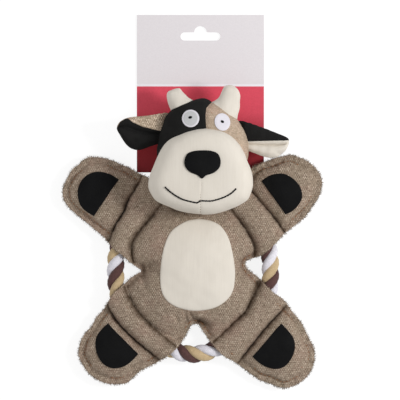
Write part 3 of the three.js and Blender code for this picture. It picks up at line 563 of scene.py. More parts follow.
def burlap(name="burlap_cloth", tint=1.0, contrast=1.0, across_pitch=0.92, upward_pitch=1.62):
    """Coarse weave of mixed fibres, with painted shade where the crease attribute says so, and darker where the
    hem attribute says so.
    """
    f = Finish(name, (0.34, 0.26, 0.195), 0.95)
    height, product, rows = f.weave(across_pitch, upward_pitch, 0.85)
    level = 0.9768  # what the parts below come to on average
    tone = f.weighed(
        (f.noise(950.0, 1.0, stretch=(0.3, 1.0, 0.5)), 0.7),
        (f.noise(950.0, 1.0, stretch=(1.0, 0.3, 0.5)), 0.35),
        (f.noise(1250.0, 1.0), 0.75),
        (rows, 0.12),
        (product, f.ramp(f.noise(120.0), (0.36, 0.08), (0.62, 0.26))),
    )
    tone = f.add(f.times(f.add(tone, -level), contrast), 0.5)

    def dyed(*color):
        return tuple(c * tint for c in color)

    color = f.ramp(
        tone,
        (0.12, dyed(0.120, 0.082, 0.056)),
        (0.40, dyed(0.285, 0.216, 0.160)),
        (0.60, dyed(0.375, 0.292, 0.222)),
        (0.88, dyed(0.640, 0.535, 0.425)),
    )
    warm = f.noise(55.0, 4.0)
    rust = f.noise(800.0, 1.0)
    # The crease attribute carries painted shade in the creases and at the seams
    crease, hem = (f.node("Attribute", attribute_name=key).outputs["Fac"] for key in ("crease", "hem"))
    for share, towards in (
        (f.ramp(warm, (0.5, 0.0), (0.72, 0.36)), dyed(0.390, 0.240, 0.190)),
        (f.ramp(warm, (0.28, 0.30), (0.48, 0.0)), dyed(0.265, 0.222, 0.150)),
        (f.ramp(rust, (0.69, 0.0), (0.74, 0.6)), dyed(0.300, 0.130, 0.070)),
        # painted crease shade
        (crease, (0.052, 0.028, 0.013)),
        (f.times(hem, 0.55), (0.150, 0.074, 0.038)),
    ):
        color = f.mixed(share, color, towards)
    relief = f.weighed((height, 1.0), (f.noise(1500.0, 2.0), 0.5))
    return f.done(color, relief, 0.8, 0.35, (tone, (0.2, 0.98), (0.8, 0.84)), 0.1, 0.04)


def canvas(name, color, shade):
    f = Finish(name, color, 0.9)
    height, _, _ = f.weave(0.62, 0.62, 0.12)
    ribs = f.noise(900.0, 2.0, stretch=(1.0, 0.06, 0.3))
    tone = f.weighed((ribs, 0.45), (f.noise(30.0), 0.55))
    relief = f.weighed((height, 1.0), (ribs, 0.8))
    rough = ribs, (0.3, 0.95), (0.7, 0.84)
    return f.done(f.ramp(tone, (0.35, shade), (0.6, color)), relief, 0.4, 0.12, rough, 0.2, 0.03)


def felt(name, color, shade, strength=0.5):
    f = Finish(name, color, 0.95)
    fibre = f.noise(1300.0, 4.0, 0.7)
    tone = f.weighed((fibre, 0.5), (f.noise(60.0), 0.5))
    rough = fibre, (0.3, 0.98), (0.7, 0.86)
    return f.done(f.ramp(tone, (0.35, shade), (0.65, color)), fibre, strength, 0.2, rough, 0.05, 0.01, 0.45)


def yarn(name, color, shade):
    """Cotton yarn of a rope strand: fibres run along U of the strand's own map."""
    f = Finish(name, color, 0.85)
    lines = f.noise(9.0, 4.0, 0.6, stretch=(0.6, 16.0, 1.0), where=f.where("UV"))
    tone = f.weighed((lines, 0.7), (f.noise(500.0), 0.3))
    rough = lines, (0.3, 0.92), (0.7, 0.72)
    return f.done(f.ramp(tone, (0.34, shade), (0.6, color)), lines, 0.5, 0.25, rough, sheen=0.1)


def plastic(name, color, rough):
    f = Finish(name, color, rough)
    grain = f.noise(300.0)
    return f.done((*color, 1), grain, 0.1, 0.05, (grain, (0.3, rough - 0.08), (0.7, rough + 0.08)))


def plain_card():
    """Card of two colours with a pale line between them, and bare behind; its red has painted shade, darker
    towards the bottom where the toy shades it.
    """
    f = Finish("card_board", (0.55, 0.04, 0.07), 0.5)
    up = f.split(f.where())["Y"]

    def level(py):
        return at(200, py)[1] * MM

    above = f.math("GREATER_THAN", up, level(86.0))
    at_line = f.times(above, f.math("LESS_THAN", up, level(83.6)))
    fibre = f.noise(900.0)
    # Painted shade: the red darkens towards the bottom of the card, under the head and ears
    reach = ("From Min", level(146)), ("From Max", level(112)), ("To Min", 1.0), ("To Max", 0.0)
    low = f.node("MapRange", ("Value", up), *reach).outputs[0]
    red = f.ramp(fibre, (0.3, (0.70, 0.074, 0.112)), (0.7, (0.77, 0.087, 0.134)))
    red = f.mixed(f.times(low, 0.85), red, (0.215, 0.009, 0.010))
    pale = f.ramp(fibre, (0.3, (0.775, 0.735, 0.755)), (0.7, (0.81, 0.77, 0.79)))
    color = f.mixed(at_line, f.mixed(above, red, pale), (0.88, 0.86, 0.90))
    facing = f.split(f.node("NewGeometry").outputs["Normal"])["Z"]
    color = f.mixed(f.math("GREATER_THAN", facing, 0.5), (0.74, 0.72, 0.70), color)
    return f.done(color, fibre, 0.12, 0.05, (fibre, (0.3, 0.42), (0.7, 0.56)), 0.2)


BURLAP = burlap()
HEAD_BURLAP = burlap("head_burlap_cloth", 1.52, 0.62, 0.8, 1.3)
EAR_BURLAP = burlap("ear_burlap_cloth", 1.58, 1.3)
CREAM = canvas("cream_canvas", (0.765, 0.712, 0.632), (0.725, 0.670, 0.590))
BLACK_FELT = felt("black_felt", (0.0105, 0.0105, 0.0108), (0.0062, 0.0062, 0.0066))
BLACK_CLOTH = felt("black_cloth", (0.0190, 0.0186, 0.0182), (0.0115, 0.0112, 0.0110))
GREY_FELT = felt("grey_felt", (0.61, 0.61, 0.62), (0.54, 0.54, 0.55), 0.3)
WHITE_FELT = felt("white_felt", (0.80, 0.775, 0.83), (0.74, 0.715, 0.77), 0.3)
YARNS = {
    "brown": yarn("brown_yarn", (0.105, 0.042, 0.037), (0.05, 0.019, 0.017)),
    "white": yarn("white_yarn", (0.87, 0.85, 0.91), (0.63, 0.61, 0.67)),
    "beige": yarn("beige_yarn", (0.62, 0.47, 0.27), (0.44, 0.31, 0.165)),
}
THREAD = felt("thread", (0.36, 0.28, 0.20), (0.25, 0.19, 0.14), 0.2)
HEM_THREAD = felt("hem_thread", (0.400, 0.190, 0.090), (0.250, 0.115, 0.052), 0.2)
BLACK_THREAD = felt("black_thread", (0.012, 0.012, 0.013), (0.008, 0.008, 0.009), 0.2)
PIN = plastic("clear_pin", (0.80, 0.80, 0.82), 0.35)
SQUEAKER = plastic("squeaker_plastic", (0.82, 0.82, 0.82), 0.5)
TAPE = plastic("join_tape", (0.78, 0.74, 0.66), 0.6)


# ---- meshes ----


def add_object(name, data):
    made = bpy.data.objects.new(name, data)
    bpy.context.scene.collection.objects.link(made)
    return made


def fill_mesh(mesh, verts, groups, mat=None):
    """Vertices, groups of faces and a finish for a new mesh."""
    faces = [tuple(face) for group in groups for face in np.asarray(group).tolist()]
    mesh.from_pydata(np.asarray(verts, float).tolist(), [], faces)
    if mat:
        mesh.materials.append(mat)
        mesh.polygons.foreach_set("use_smooth", np.full(len(mesh.polygons), True))


def piece(name, verts, groups, mat):
    mesh = bpy.data.meshes.new(name)
    fill_mesh(mesh, np.asarray(verts, float) * MM, groups, mat)
    mesh.validate()
    mesh.update()
    return add_object(name, mesh)


def place(obj, body, slot, *stands_for, fill=None):
    """The piece rides on its body, or for a limb keeps its baked transform; the parts it stands for are hidden.
    """
    if body in LIMBS:
        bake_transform(obj)
    else:
        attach(obj, body)
    if stands_for:
        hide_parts(*stands_for)


def skin(rows, n, wrap=True, closed=False):
    """Faces over rows of n points. With wrap a row goes round, and with closed the last meets the first."""
    i, j = np.indices((rows if closed else rows - 1, n if wrap else n - 1))
    down, across = (i + 1) % rows, (j + 1) % n
    return np.stack([i * n + j, i * n + across, down * n + across, down * n + j], -1).reshape(-1, 4)


def tip(n):
    """Faces from point 0 to a ring of the n points after it."""
    k = np.arange(n)
    return np.column_stack([0 * k, 1 + k, 1 + (k + 1) % n])


def tubes(paths, radii, sides):
    """Thin closed tubes along many paths of the same number of points."""
    paths = np.asarray(paths, float)
    count, steps = paths.shape[:2]
    ahead = unit(np.gradient(paths, axis=1))
    right = unit(np.cross(ahead, np.where(np.abs(ahead[..., 2:]) > 0.9, [1.0, 0, 0], [0, 0, 1.0])))
    up = np.cross(right, ahead)
    cos, sin = heading(circle(sides)).T[..., None]
    ring = right[:, :, None] * cos + up[:, :, None] * sin
    verts = paths[:, :, None] + ring * np.broadcast_to(radii, (count, steps))[..., None, None]
    first = np.arange(count)[:, None] * steps * sides
    walls = (first[..., None] + skin(steps, sides)).reshape(-1, 4)
    caps = first + np.arange(sides)[::-1], first + (steps - 1) * sides + np.arange(sides)
    return verts.reshape(-1, 3), [walls, *caps]


def corners_of(cells):
    """Which points of the grid are a corner of one of the cells."""
    found = np.zeros(SHAPE, bool)
    i, j = np.nonzero(cells)
    for di, dj in np.ndindex(2, 2):
        found[i + di, j + dj] = True
    return found


def panel(cells, top, bottom):
    """A closed shell of cloth over cells of the grid, its vertices drawn to its true edges."""
    used = corners_of(cells)
    n = used.sum()
    index = np.full(SHAPE, -1)
    index[used] = np.arange(n)
    i, j = np.nonzero(cells)
    a, b, c, d = index[i, j], index[i, j + 1], index[i + 1, j + 1], index[i + 1, j]
    edges = np.concatenate([np.stack(e, 1) for e in ((a, b), (b, c), (c, d), (d, a))])
    key = edges.min(1) * (n + 1) + edges.max(1)
    _, first, counts = np.unique(key, return_index=True, return_counts=True)
    p, q = edges[first[counts == 1]].T
    verts = np.concatenate([np.column_stack([snapped[used], height[used]]) for height in (top, bottom)])
    faces = np.stack([a, b, c, d], 1), np.stack([d, c, b, a], 1) + n, np.stack([q, p, p + n, q + n], 1)
    return verts, list(faces)


cell_inside = inside_of(xs[:-1] + STEP / 2, ys[:-1] + STEP / 2, outline)
paw_cells = paw_of((GRID[:-1, :-1] + GRID[1:, 1:]) / 2)
outline_part = paw_of(outline)

# Cloth edges are pulled to the outline, and the two sides of a paw's seam to the seam
outside = ~inside & (out_dist < 2 * STEP)
on_seam = corners_of(cell_inside & (paw_cells > 0)) & corners_of(cell_inside & (paw_cells == 0))
on_seam &= outer_foot.any(-1) & (np.linalg.norm(outer_foot - GRID, axis=-1) < 2 * STEP)
snapped = GRID.copy()
snapped[outside] = out_foot[outside]
snapped[on_seam] = outer_foot[on_seam]

seam_top = SEAM_Z + BASE + np.maximum(cover - 2.0, 0) * 0.5
TOP = np.where(on_seam, np.minimum(FRONT, seam_top), FRONT)
UNDER = np.where(on_seam, np.maximum(BACK, 2 * SEAM_Z - seam_top), BACK)
TOP[outside] = sample(FRONT, snapped[outside])
UNDER[outside] = sample(BACK, snapped[outside])

# The hidden side of each layer: one cloth's thickness in, and never past the middle
MIDDLE = np.clip(SEAM_Z + flap * 0.9, UNDER + 0.3, TOP - 0.3)
TOP_IN = np.maximum(TOP - CLOTH, MIDDLE + 0.05)
UNDER_IN = np.minimum(UNDER + CLOTH, MIDDLE - 0.05)


def fibres(where, count, seed, longest=1.55):
    """Frayed yarn ends along stretches of the outline."""
    r = np.random.default_rng(seed)
    line, after = outline[where], np.roll(outline, -1, axis=0)[where]
    picks = r.integers(0, len(line), count)
    t = r.uniform(0, 1, (count, 1))
    start = line[picks] * (1 - t) + after[picks] * t
    ahead = unit(after[picks] - line[picks])
    out = right_of(ahead) * OUTWARD
    lean = r.normal(0, 0.75, (count, 1))
    way = out * np.cos(lean) + ahead * np.sin(lean)
    long = longest * (0.25 + 0.75 * r.beta(1.6, 3.0, (count, 1)))
    start = start - out * r.uniform(0.3, 1.4, (count, 1))
    curl = right_of(way) * r.normal(0, 0.5, (count, 1))
    on_top = r.uniform(0, 1, count) < 0.6
    z = np.where(on_top, sample(TOP, start) - 0.2, sample(UNDER, start) + 0.2)
    rise = r.normal(0, 0.35, (count, 1)) * long
    paths = np.empty((count, 4, 3))
    for k, s in enumerate(np.linspace(0, 1, 4)):
        paths[:, k, :2] = start + way * (long + 1.0) * s - curl * long * s * s
        paths[:, k, 2] = np.maximum(z + rise[:, 0] * s * s, 0.3)
    return tubes(paths, r.uniform(0.11, 0.2, (count, 1)) * [1.0, 0.9, 0.75, 0.45], 3)


def cloth_piece(name, part, heights, hairs, seed):
    """One layer of the cloth of the body (part 0) or of a paw, with its frayed edge."""
    verts, faces = panel(cell_inside & (paw_cells == part), *heights)
    hair, hair_faces = fibres(outline_part == part, hairs, seed)
    faces += [f + len(verts) for f in hair_faces]
    made = piece(name, np.concatenate([verts, hair]), faces, BURLAP)
    # The crease attribute holds the painted crease shade
    for label, field in (("crease", painted_crease_shade), ("hem", hem_line)):
        values = np.concatenate([sample(field, verts), np.zeros(len(hair))]).astype(np.float32)
        made.data.attributes.new(label, "FLOAT", "POINT").data.foreach_set("value", values)
    return made


def hem_stitches(name, part):
    """Dashes of thread through both layers of cloth, along the seam inside the frayed edge."""
    ahead = unit(np.roll(outline, -1, axis=0) - np.roll(outline, 1, axis=0))
    inset = sample(fringe, outline)
    line = outline - right_of(ahead) * OUTWARD * inset[:, None]
    sewn = (sample(edge_dist, line) > 0.8 * inset) & (sample(cover, line) < 0.5)
    sewn &= (sample(seam_dist, line) > 1.0) & (outline_part == part) & (sample(hem_shown, line) > 0.35)
    dashes = []
    for i in range(0, len(line) - 3, 3):
        if sewn[i : i + 3].all():
            flat = line[i] + (line[i + 2] - line[i]) * np.linspace(0.05, 0.95, 5)[:, None]
            for face, way in ((FRONT, 1), (BACK, -1)):
                height = sample(face, flat) + way * np.array([-0.3, 0.16, 0.22, 0.16, -0.3])
                dashes.append(np.column_stack([flat, height]))
    return piece(name, *tubes(dashes, [0.2, 0.27, 0.27, 0.27, 0.2], 5), HEM_THREAD)


FRONT_LAYER, BACK_LAYER = (TOP, TOP_IN), (UNDER_IN, UNDER)
sleeves = [f"{limb}_sleeve" for limb in LIMBS]
body_front = cloth_piece("body_front_cloth", 0, FRONT_LAYER, 820, 31)
place(body_front, "trunk", "burlap", "trunk_front_panel", "trunk_front_wadding", *sleeves, fill=0.7)
body_back = cloth_piece("body_back_cloth", 0, BACK_LAYER, 480, 32)
place(body_back, "trunk", "burlap", "trunk_back_panel", "trunk_back_wadding", fill=0.7)
for k, limb in enumerate(LIMBS):
    paw = f"{limb}_paw" if "arm" in limb else f"{limb}_foot"
    front_part = cloth_piece(f"{limb}_front_cloth", 5 + k, FRONT_LAYER, 430, 41 + k)
    place(front_part, limb, "burlap", paw, fill=0.65)
    back_part = cloth_piece(f"{limb}_back_cloth", 5 + k, BACK_LAYER, 250, 51 + k)
    place(back_part, limb, "burlap", fill=0.65)
place(hem_stitches("trunk_hem_stitches", 0), "trunk", "burlap")
for k, limb in enumerate(LIMBS):
    place(hem_stitches(f"{limb}_hem_stitches", 5 + k), limb, "burlap")


# ---- patches on the cloth ----


def fan(centre, edge, shares, height):
    """A patch over an outline: rings from its middle to its edge. height(points, share) gives z."""
    verts = [[[*centre, height(np.array([centre]), 0.0)[0]]]]
    for s in shares:
        ring = centre + (edge - centre) * s
        verts.append(np.column_stack([ring, height(ring, s)]))
    n = len(edge)
    return np.concatenate(verts), [tip(n), skin(len(shares), n)[:, [0, 3, 2, 1]] + 1]


def patch(name, centre, edge, surface, thick, mat, edge_round=1.2, lift=0.15, swell=0.0):
    """Cloth laid on a surface, its edge turned under, closed underneath."""
    reach = np.linalg.norm(edge - centre, axis=1).mean()
    rim = edge_round / reach
    shares = np.concatenate([np.linspace(0, 1 - rim, 26)[1:], 1 - rim * np.array([0.7, 0.42, 0.2, 0.06, 0])])

    def top(points, s):
        near = np.clip((1 - s) * reach / edge_round, 0, 1)
        rise = thick * math.sqrt(max(0.0, 1 - (1 - near) ** 2)) + swell * (1 - s**2.5)
        return surface(points) + lift + rise

    verts, faces = fan(centre, edge, shares, top)
    low_verts, low_faces = fan(centre, edge, [*shares[::3], 1.0], lambda p, s: surface(p) - 0.25)
    k = np.arange(len(edge))
    after = (k + 1) % len(edge)
    top_ring, low_ring = len(verts) - len(edge), len(verts) + len(low_verts) - len(edge)
    wall = np.column_stack([top_ring + k, low_ring + k, low_ring + after, top_ring + after])
    under = [len(verts) + f[:, ::-1] for f in low_faces]
    return piece(name, np.concatenate([verts, low_verts]), [*faces, *under, wall], mat)


SOFT_TOP = blur(TOP, 3)


def over_soft(points):
    return sample(SOFT_TOP, points)


BELLY = [
    (201, 219), (213, 221.5), (221.6, 227), (228.5, 238), (232.4, 252), (234.9, 268), (234.9, 280),
    (232.5, 292), (226, 301), (214, 308.2), (197, 311), (182, 309), (169.5, 303), (162.6, 294),
    (160.2, 281), (161.2, 262), (165, 244), (172, 230.5), (184.5, 222), (193, 219.6),
]
belly_edge = smooth_line(pixels(BELLY, 26), closed=True, step=1.4)
belly = patch("belly_canvas", at(198, 265, 26), belly_edge, over_soft, 1.0, CREAM, swell=0.5)
place(belly, "trunk", "canvas", "belly_patch")

PADS = {  # from the corner at the arm's upper or the leg's inner side; the other corner is the 11th point
    "left_arm": [
        (118.8, 179.6), (111, 174.6), (103.5, 172.2), (95.5, 171.8), (87.3, 174.8), (81, 181), (77.8, 189),
        (77.8, 197.5), (80.5, 206), (86.5, 212), (93.8, 216.2), (97, 211.5), (106, 198), (112, 189),
    ],
    "right_arm": [
        (261.6, 181.2), (267, 177), (275, 174), (284.5, 173.9), (293, 178.5), (299.5, 185.5), (302.2, 193.5),
        (301.5, 200), (297, 207), (291, 212), (285.6, 214.4), (281, 208), (273, 197), (266.5, 188),
    ],
    "left_leg": [
        (107.8, 323.4), (101.5, 329.5), (96.8, 336), (95.2, 344), (96.8, 354), (102, 363), (109, 367.6),
        (116, 368.6), (124.5, 366.4), (131.5, 361.5), (138.2, 354.3), (131, 347), (122, 338), (114, 330),
    ],
    "right_leg": [
        (281.6, 323.8), (287.5, 330), (293, 337), (295, 344), (294.3, 352), (290, 361), (284, 367),
        (275.5, 369.2), (266, 367), (258.5, 362.5), (252.4, 357), (259, 349.5), (268, 339), (276, 329.5),
    ],
}
PAD_CORNER = 10
for limb in LIMBS:
    line = pixels(PADS[limb] + PADS[limb][:1], 20)
    halves = line[: PAD_CORNER + 1], line[PAD_CORNER:]
    edge = np.concatenate([smooth_line(half)[:-1] for half in halves])
    pad = patch(f"{limb}_felt_pad", edge.mean(0), edge, over_soft, 1.1, BLACK_FELT, edge_round=1.0)
    place(pad, limb, "black_cloth", f"{limb}_pad")


# ---- rope ----

WHOLE = 2 * math.pi * RING_RADIUS
LAY = [  # place along the ring from its left, anticlockwise; turns of the lay; length of a turn there
    (2.5, 0.0, 30.0),
    (92.8, 3.0, 28.0),
    (187.0, 6.0, 30.0),
    (2.5 + WHOLE, 13.0, 30.0),
]
ROPE_STEPS, ROPE_SIDES = 1100, 22
STRAND_REACH, STRAND_RADIUS = 3.55, 3.5  # of a strand's middle from the rope's, and of the strand


def rope_phase(s):
    """Turns of the lay along the ring, so that each colour shows where it does in the photograph."""
    s = np.where(s < LAY[0][0], s + WHOLE, s)
    found = np.zeros_like(s)
    for (s0, t0, p0), (s1, t1, p1) in zip(LAY[:-1], LAY[1:]):
        h = s1 - s0
        u = (s - s0) / h
        value = (
            t0 * (2 * u**3 - 3 * u**2 + 1)
            + h / p0 * (u**3 - 2 * u**2 + u)
            + t1 * (3 * u**2 - 2 * u**3)
            + h / p1 * (u**3 - u**2)
        )
        found = np.where((s >= s0) & (s <= s1), value, found)
    return found


def rope_reach(angle):
    """The ring hangs a little lower between the legs, and is drawn in beside the body."""
    down = (np.degrees(angle) - 90) % 360 - 180
    side = (np.degrees(angle) + 90) % 180 - 90
    return RING_RADIUS + 3.7 * bell(down, 19) - 1.0 * bell(side, 13)


def rope_strand(k):
    s = np.linspace(0, WHOLE, ROPE_STEPS, endpoint=False)
    turn = 2 * math.pi * (rope_phase(s) + k / 3.0)[:, None]
    angle = math.pi + s / RING_RADIUS
    out = np.column_stack([heading(angle), np.zeros_like(s)])
    middle = out * rope_reach(angle)[:, None] + [*RING_CENTRE, SEAM_Z]
    path = middle + STRAND_REACH * (np.array([0, 0, 1.0]) * np.cos(turn) + out * np.sin(turn))
    ahead = unit(np.roll(path, -1, 0) - np.roll(path, 1, 0))
    outward = unit(path - middle)
    outward = unit(outward - ahead * (outward * ahead).sum(1, keepdims=True))
    beside = 1.04 * np.cross(ahead, outward)
    ring = circle(ROPE_SIDES)
    radius = STRAND_RADIUS + 0.10 * np.cos(9 * ring - 2 * math.pi * s[:, None] / 11.0)
    cos, sin = ((radius * wave)[..., None] for wave in (np.cos(ring), np.sin(ring)))
    verts = path[:, None] + outward[:, None] * cos + beside[:, None] * sin
    return verts.reshape(-1, 3), [skin(ROPE_STEPS, ROPE_SIDES, closed=True)]


for k, (label, mat) in enumerate(YARNS.items()):
    strand = piece(f"rope_{label}_strand", *rope_strand(k), mat)
    corner = np.empty(len(strand.data.loops), int)
    strand.data.loops.foreach_get("vertex_index", corner)
    uv = np.stack([corner // ROPE_SIDES / ROPE_STEPS * 40.0, corner % ROPE_SIDES / ROPE_SIDES], 1)
    strand.data.uv_layers.new(name="along").data.foreach_set("uv", uv.ravel())
    place(strand, "rope", "rope_cotton", "rope_ring")


# ---- head ----


class Form:
    """A stuffed form: an outline in plan, round from front to back."""

    def __init__(self, centre, line, low, high, power):
        self.centre, self.low, self.high, self.power = centre, low, high, power
        self.middle = (low + high) / 2
        self.half = (high - low) / 2
        self.heart = np.array([*centre, self.middle])
        away = line - centre
        turn = np.arctan2(away[:, 1], away[:, 0])
        order = np.argsort(turn)
        self.turn = np.concatenate([turn[order] + lap for lap in (-2 * math.pi, 0, 2 * math.pi)])
        self.reach = np.tile(np.linalg.norm(away, axis=1)[order], 3)

    def edge(self, turn):
        return np.interp(turn, self.turn, self.reach)

    def top(self, points):
        away = points - self.centre
        s = np.linalg.norm(away, axis=1) / self.edge(np.arctan2(away[:, 1], away[:, 0]))
        return self.middle + self.half * np.sqrt(np.maximum(0, 1 - np.clip(s, 0, 1) ** (2 / self.power)))

    def mesh(self, sides=220, rows=90):
        turn = circle(sides) - math.pi
        lift = math.pi * (0.5 - np.arange(1, rows) / rows)[:, None]
        reach = self.edge(turn) * np.cos(lift) ** self.power
        z = self.middle + self.half * np.sin(lift) + np.zeros(sides)
        rings = np.dstack([self.centre + heading(turn) * reach[..., None], z]).reshape(-1, 3)
        verts = np.concatenate([[[*self.centre, self.high]], rings, [[*self.centre, self.low]]])
        last = len(verts) - 1
        end = tip(sides)[:, [1, 0, 2]] + [last - sides - 1, last, last - sides - 1]
        return verts, [tip(sides), skin(rows - 1, sides)[:, [0, 3, 2, 1]] + 1, end]


SKULL = [
    (203.2, 97.7), (192.6, 99.7), (180.8, 103.5), (172.5, 109.4), (166.3, 116.0), (163.1, 123.7),
    (159.6, 131.9), (158, 141), (157, 150), (158, 160), (162, 169), (170, 177), (185, 182.5), (203, 184),
    (222, 182), (236, 176), (244, 168), (248.0, 159), (248.9, 150), (248.6, 143.7), (245.7, 133),
    (241, 124.8), (236.2, 118.2), (228, 110.6), (219.5, 105.0), (211.0, 100.8),
]
MUZZLE = [
    (204.4, 127.5), (192.6, 129.2), (180.8, 133), (170.2, 139.2), (163.1, 146.7), (157.2, 157.6),
    (152.5, 168.5), (149.5, 176.7), (148.3, 186.2), (151.3, 194.4), (157.2, 201.5), (169, 206.8),
    (180.8, 211), (192.6, 213.3), (204.4, 214.3), (216.2, 213.3), (228, 209.8), (239.8, 205),
    (248, 199.2), (251.6, 190.9), (253, 183.8), (251.6, 172), (247.4, 161.4), (244.5, 153.1),
    (238.6, 143.2), (230.3, 134.8), (219.7, 129.6),
]
skull = Form(at(203, 141, 26), smooth_line(pixels(SKULL, 26), closed=True), 1.9, 50.0, 0.74)
muzzle = Form(at(201, 172, 41), smooth_line(pixels(MUZZLE, 38), closed=True), 17.5, 61.0, 0.34)
BACK_SEAM = 21.0  # height of the seam round the back of the head


def seam_across(knots, z):
    """Gives a function for where a seam that runs up the head is, across it."""
    line = pixels(knots, z)
    line = line[np.argsort(line[:, 1])]
    return lambda points: np.interp(points[:, 1], line[:, 1], line[:, 0])


forehead_knots = [(206.2, 190), (206.2, 129), (205.6, 115.4), (206.4, 108), (211.5, 102), (217, 97)]
forehead_seam = seam_across(forehead_knots, 45)
chin_seam = seam_across([(200.6, 220), (200.4, 200), (201.8, 178), (202, 120)], 60)


def dent(verts, distance, width, depth, heart):
    """Draws a surface in along a seam."""
    return verts + unit(heart - verts) * (depth * bell(distance, width))[:, None]


def crumple(verts, heart, amount, sizes, seed):
    x, y, z = verts.T
    total = np.zeros(len(verts))
    for k, (size, share) in enumerate(sizes):
        total += share * waves(x + 0.6 * z, y - 0.4 * z, size, seed + k)
    return verts + unit(verts - heart) * (amount * total)[:, None]


def part_of(name, verts, faces, mat, seam, left, above):
    """Part of a form, cut cleanly along a seam and at the back seam, where these are asked for."""
    mesh = bpy.data.meshes.new(name)
    shifted = verts.copy()
    cuts = []
    if seam:
        shifted[:, 0] -= seam(verts)
        cuts.append(((0, 0, 0), (1, 0, 0), left))
    if above is not None:
        cuts.append(((0, 0, BACK_SEAM), (0, 0, 1), not above))
    fill_mesh(mesh, shifted, faces)
    work = bmesh.new()
    work.from_mesh(mesh)
    for point, normal, lower in cuts:
        geom = work.verts[:] + work.edges[:] + work.faces[:]
        sides = {"clear_outer": lower, "clear_inner": not lower}
        bmesh.ops.bisect_plane(work, geom=geom, plane_co=point, plane_no=normal, **sides)
    work.to_mesh(mesh)
    work.free()
    co = np.empty(len(mesh.vertices) * 3)
    mesh.vertices.foreach_get("co", co)
    co = co.reshape(-1, 3)
    if seam:
        co[:, 0] += seam(co)
    mesh.vertices.foreach_set("co", (co * MM).ravel())
    mesh.materials.append(mat)
    mesh.polygons.foreach_set("use_smooth", np.full(len(mesh.polygons), True))
    mesh.update()
    return add_object(name, mesh)


verts, faces = skull.mesh()
verts = crumple(verts, skull.heart, 0.3, ((30, 1.0), (13, 0.4)), 61)
verts = dent(verts, verts[:, 0] - forehead_seam(verts), 1.3, 1.0, skull.heart)
skull_mesh = dent(verts, verts[:, 2] - BACK_SEAM, 1.4, 1.2, skull.heart), faces

verts, faces = muzzle.mesh()
verts = crumple(verts, muzzle.heart, 0.22, ((34, 1.0), (12, 0.3)), 71)
below_nose = np.clip((at(200, 176, 62)[1] - verts[:, 1]) / 6, 0, 1)
muzzle_mesh = dent(verts, verts[:, 0] - chin_seam(verts), 0.7, 0.38 * below_nose, muzzle.heart), faces

for name, mesh, mat, seam, left, above, slot, *stands_for in (
    ("forehead_black_cloth", skull_mesh, BLACK_CLOTH, forehead_seam, True, True, "black_cloth",
     "forehead_black_panel"),
    ("forehead_tan_cloth", skull_mesh, HEAD_BURLAP, forehead_seam, False, True, "burlap",
     "forehead_tan_panel"),
    ("head_back_cloth", skull_mesh, HEAD_BURLAP, None, True, False, "burlap",
     "head_back_panel", "head_wadding"),
    ("muzzle_left_canvas", muzzle_mesh, CREAM, chin_seam, True, None, "canvas", "muzzle_left_panel"),
    ("muzzle_right_canvas", muzzle_mesh, CREAM, chin_seam, False, None, "canvas", "muzzle_right_panel"),
):
    place(part_of(name, *mesh, mat, seam, left, above), "head", slot, *stands_for, fill=0.85)

NOSE = [
    (202, 150.2), (211.5, 150.8), (218.2, 154.0), (220.7, 161.0), (219.4, 167.6), (213.8, 172.8),
    (206.4, 175.4), (201.8, 178.6), (197.3, 175.2), (190.2, 172.2), (185.3, 167.0), (184.3, 161.0),
    (186.9, 154.2), (192.8, 151.2),
]
nose_edge = smooth_line(pixels(NOSE, 64), closed=True, step=0.7)
nose = patch("nose_felt", at(202.3, 162.5, 64), nose_edge, muzzle.top, 1.5, BLACK_FELT, 1.6, 0.2, 2.2)
place(nose, "head", "black_cloth", "nose", fill=0.3)


def disc_line(px, py, rx, ry, z, turn, count=64):
    u, v = heading(circle(count)).T * [[rx], [ry]]
    c, s = math.cos(math.radians(turn)), math.sin(math.radians(turn))
    return pixels(zip(px + u * c - v * s, py + u * s + v * c), z)


RIM_WIDTH = 1.5  # of an eye, in pixels
EYE_LEVEL = 48  # height of the eyes in the photograph; disc and pupil lie higher


def eye(side, px, py, rx, ry, turn, mat, slot, pupil):
    """A white rim, a disc on it and a pupil of thread, laid over the forehead."""
    rim_edge = disc_line(px, py, rx, ry, EYE_LEVEL, turn)
    rim = patch(f"{side}_eye_rim", at(px, py, EYE_LEVEL), rim_edge, skull.top, 0.9, WHITE_FELT, 0.7, 0.4)
    place(rim, "head", "white_felt", f"{side}_eye")
    level = EYE_LEVEL + 1
    edge = disc_line(px, py, rx - RIM_WIDTH, ry - RIM_WIDTH, level, turn)
    disc = patch(f"{side}_eye_disc", at(px, py, level), edge, skull.top, 0.35, mat, 0.5, 1.15)
    place(disc, "head", slot)
    level = EYE_LEVEL + 2
    dot = disc_line(*pupil[:4], level, pupil[4])
    thread = patch(f"{side}_pupil_thread", at(*pupil[:2], level), dot, skull.top, 0.45, BLACK_THREAD, 0.4, 1.45)
    place(thread, "head", "black_cloth", f"{side}_pupil")


left_pupil, right_pupil = (190.2, 117.3, 2.0, 1.35, -12), (222.4, 121.5, 1.8, 1.35, 30)
eye("left", 190.6, 118.4, 8.67, 8.9, 0, GREY_FELT, "grey_felt", left_pupil)
eye("right", 222.4, 121.9, 7.9, 8.95, -12, WHITE_FELT, "white_felt", right_pupil)

MOUTH = [
    (164.9, 187.1), (171.3, 192.7), (180.8, 198.6), (190.2, 201.5), (197.3, 202.7), (200.8, 200.9),
    (211.5, 200.9), (222.1, 198), (230.3, 193.9), (236.2, 188.8),
]
line = smooth_line(pixels(MOUTH, 58), step=0.55)
path = np.column_stack([line, muzzle.top(line) + 0.35])
count = np.arange(len(path))
path[:, 1] += 0.12 * np.sin(count * 1.9)
mouth = piece("mouth_thread", *tubes([path], 0.58 + 0.10 * np.sin(count * 1.35), 8), BLACK_THREAD)
place(mouth, "head", "black_cloth")

